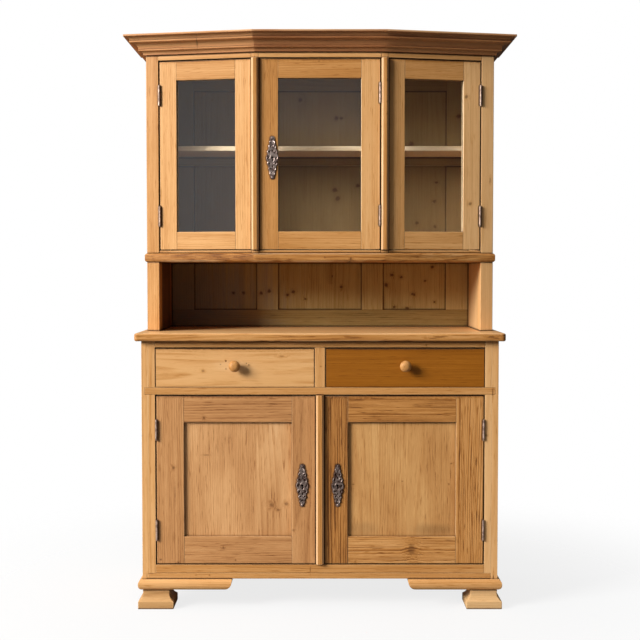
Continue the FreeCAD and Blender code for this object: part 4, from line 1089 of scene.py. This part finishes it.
def escutcheon(node, material):
    """The cast plate, built flat and stood up on the door's face at the CAD plate's middle."""
    low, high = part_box(node)
    whole = bmesh.new()
    for mesh in (plate_mesh(), scroll_mesh()):
        whole.from_mesh(mesh)
        bpy.data.meshes.remove(mesh)
    for x, z, radius in BEADS:
        for side in both_signs(x):
            for flip in both_signs(z):
                ball = bmesh.ops.create_icosphere(whole, subdivisions=2, radius=radius * MM)
                for vertex in ball["verts"]:
                    vertex.co.z *= BEAD_HEIGHT
                    vertex.co += Vector((side * x * MM, flip * z * MM, PLATE_THICKNESS / 2))
    middle = (low + high) / 2
    middle.y = high.y - PLATE_THICKNESS / 2 - PLATE_BEVEL
    for vertex in whole.verts:
        across, up, out = vertex.co
        vertex.co = middle + Vector((across, -out, up))
    bmesh.ops.recalc_face_normals(whole, faces=whole.faces[:])
    finish_piece(whole, "_cast", node, material)


for door in LOCKED_DOORS:
    escutcheon(door + "_escutcheon", bronze)
    finish_node(door + "_lock_case", iron)
    finish_node(door + "_lock_bolt", iron)


# Stage: a pale floor that fades into the white, a key light, a sky and the camera
def make_floor():
    """A square of floor whose material fades it out to a round."""
    reach = FLOOR_RADII[1]
    corners = [(-reach, -reach, 0), (reach, -reach, 0), (reach, reach, 0), (-reach, reach, 0)]
    mesh = bpy.data.meshes.new("floor")
    mesh.from_pydata(corners, [], [(0, 1, 2, 3)])
    s = MaterialShader("floor_pale")
    place = s.object_place()
    s.put("Base Color", s.ramp(s.noise(place, (1.5, 1.5, 1.5), 4.0), FLOOR_COLOURS))
    s.put("Roughness", 0.8)
    s.put("Specular IOR Level", 0.1)
    glow = s.add("Emission", {"Color": WHITE, "Strength": FLOOR_LIGHT}).outputs[0]
    bounce = s.add("BsdfDiffuse", {"Color": FLOOR_BOUNCE}).outputs[0]
    clear = s.add("BsdfTransparent").outputs[0]
    matt = s.blend(s.ray("Is Camera Ray"), bounce, s.blend(FLOOR_GLOW, s.surface, glow))
    fade = s.smooth(s.vector("LENGTH", place), *FLOOR_RADII)
    s.show(s.blend(fade, matt, clear))
    mesh.materials.append(s.material)
    floor = new_object("floor", mesh)


def make_key():
    """The key light, aimed at the hutch."""
    azimuth, elevation = math.radians(KEY_AZIMUTH), math.radians(KEY_ELEVATION)
    toward = Vector((-math.sin(azimuth) * math.cos(elevation), -math.cos(azimuth) * math.cos(elevation),
                     math.sin(elevation)))
    lamp = bpy.data.lights.new("key", "AREA")
    lamp.shape = "SQUARE"
    lamp.size = KEY_SIZE
    lamp.energy = KEY_POWER
    lamp.color = KEY_COLOUR
    key = new_object("key", lamp)
    key.location = Vector(KEY_TARGET) + toward * KEY_DISTANCE
    key.rotation_euler = toward.to_track_quat("Z", "Y").to_euler()


def make_sky():
    """The sky that lights the hutch, with the walls that its panes mirror. The camera sees white."""
    world = bpy.data.worlds.new("sky")
    world.use_nodes = True
    s = Shader(world.node_tree)
    x, y, z = s.split(s.add("TexCoord").outputs["Generated"])
    greys = [(step, (grey, grey, grey, 1.0)) for step, grey in SKY_SIDES]
    side = s.ramp(s.math("MULTIPLY_ADD", x, 0.5, 0.5), greys)
    haze = s.math("MULTIPLY_ADD", s.smooth(z, *HORIZON), s.math("SUBTRACT", side, SKY_LOW), SKY_LOW)
    ahead = s.smooth(y, *WALL_AHEAD)
    fall = s.math("MULTIPLY_ADD", s.smooth(z, *WALL_LEFT_FOOT), WALL_LEFT_GAIN, WALL_LEFT_GAIN)
    left_wall = s.product(s.band(x, *WALL_LEFT_SIDES), ahead, fall, WALL_LEFT)
    high_wall = s.product(s.band(x, *WALL_HIGH_SIDES), s.band(z, *WALL_HIGH_LEVELS), ahead, WALL_HIGH)
    mirrored = s.math("MULTIPLY_ADD", s.ray("Is Diffuse Ray"), WALL_SHARE - 1.0, 1.0)
    light = s.total(haze, s.product(s.smooth(z, *SKY_TOP_EDGE), SKY_TOP),
                    s.product(s.total(left_wall, high_wall), mirrored))
    lighting = s.add("Background", {"Color": SKY_COLOUR, "Strength": light}).outputs[0]
    white = s.add("Background", {"Color": WHITE, "Strength": 1.0}).outputs[0]
    s.add("OutputWorld", {"Surface": s.blend(s.ray("Is Camera Ray"), lighting, white)})
    scene.world = world


def make_camera():
    """The photograph's camera."""
    lens = bpy.data.cameras.new("camera")
    lens.lens = CAMERA_LENS
    lens.sensor_width = SENSOR_WIDTH
    lens.sensor_fit = "HORIZONTAL"
    camera = new_object("camera", lens)
    camera.location = CAMERA_PLACE
    camera.rotation_euler = (math.radians(90 - CAMERA_PITCH), 0.0, 0.0)
    scene.camera = camera


make_floor()
make_key()
make_sky()
make_camera()
scene.view_settings.view_transform = "Standard"
scene.view_settings.look = "None"
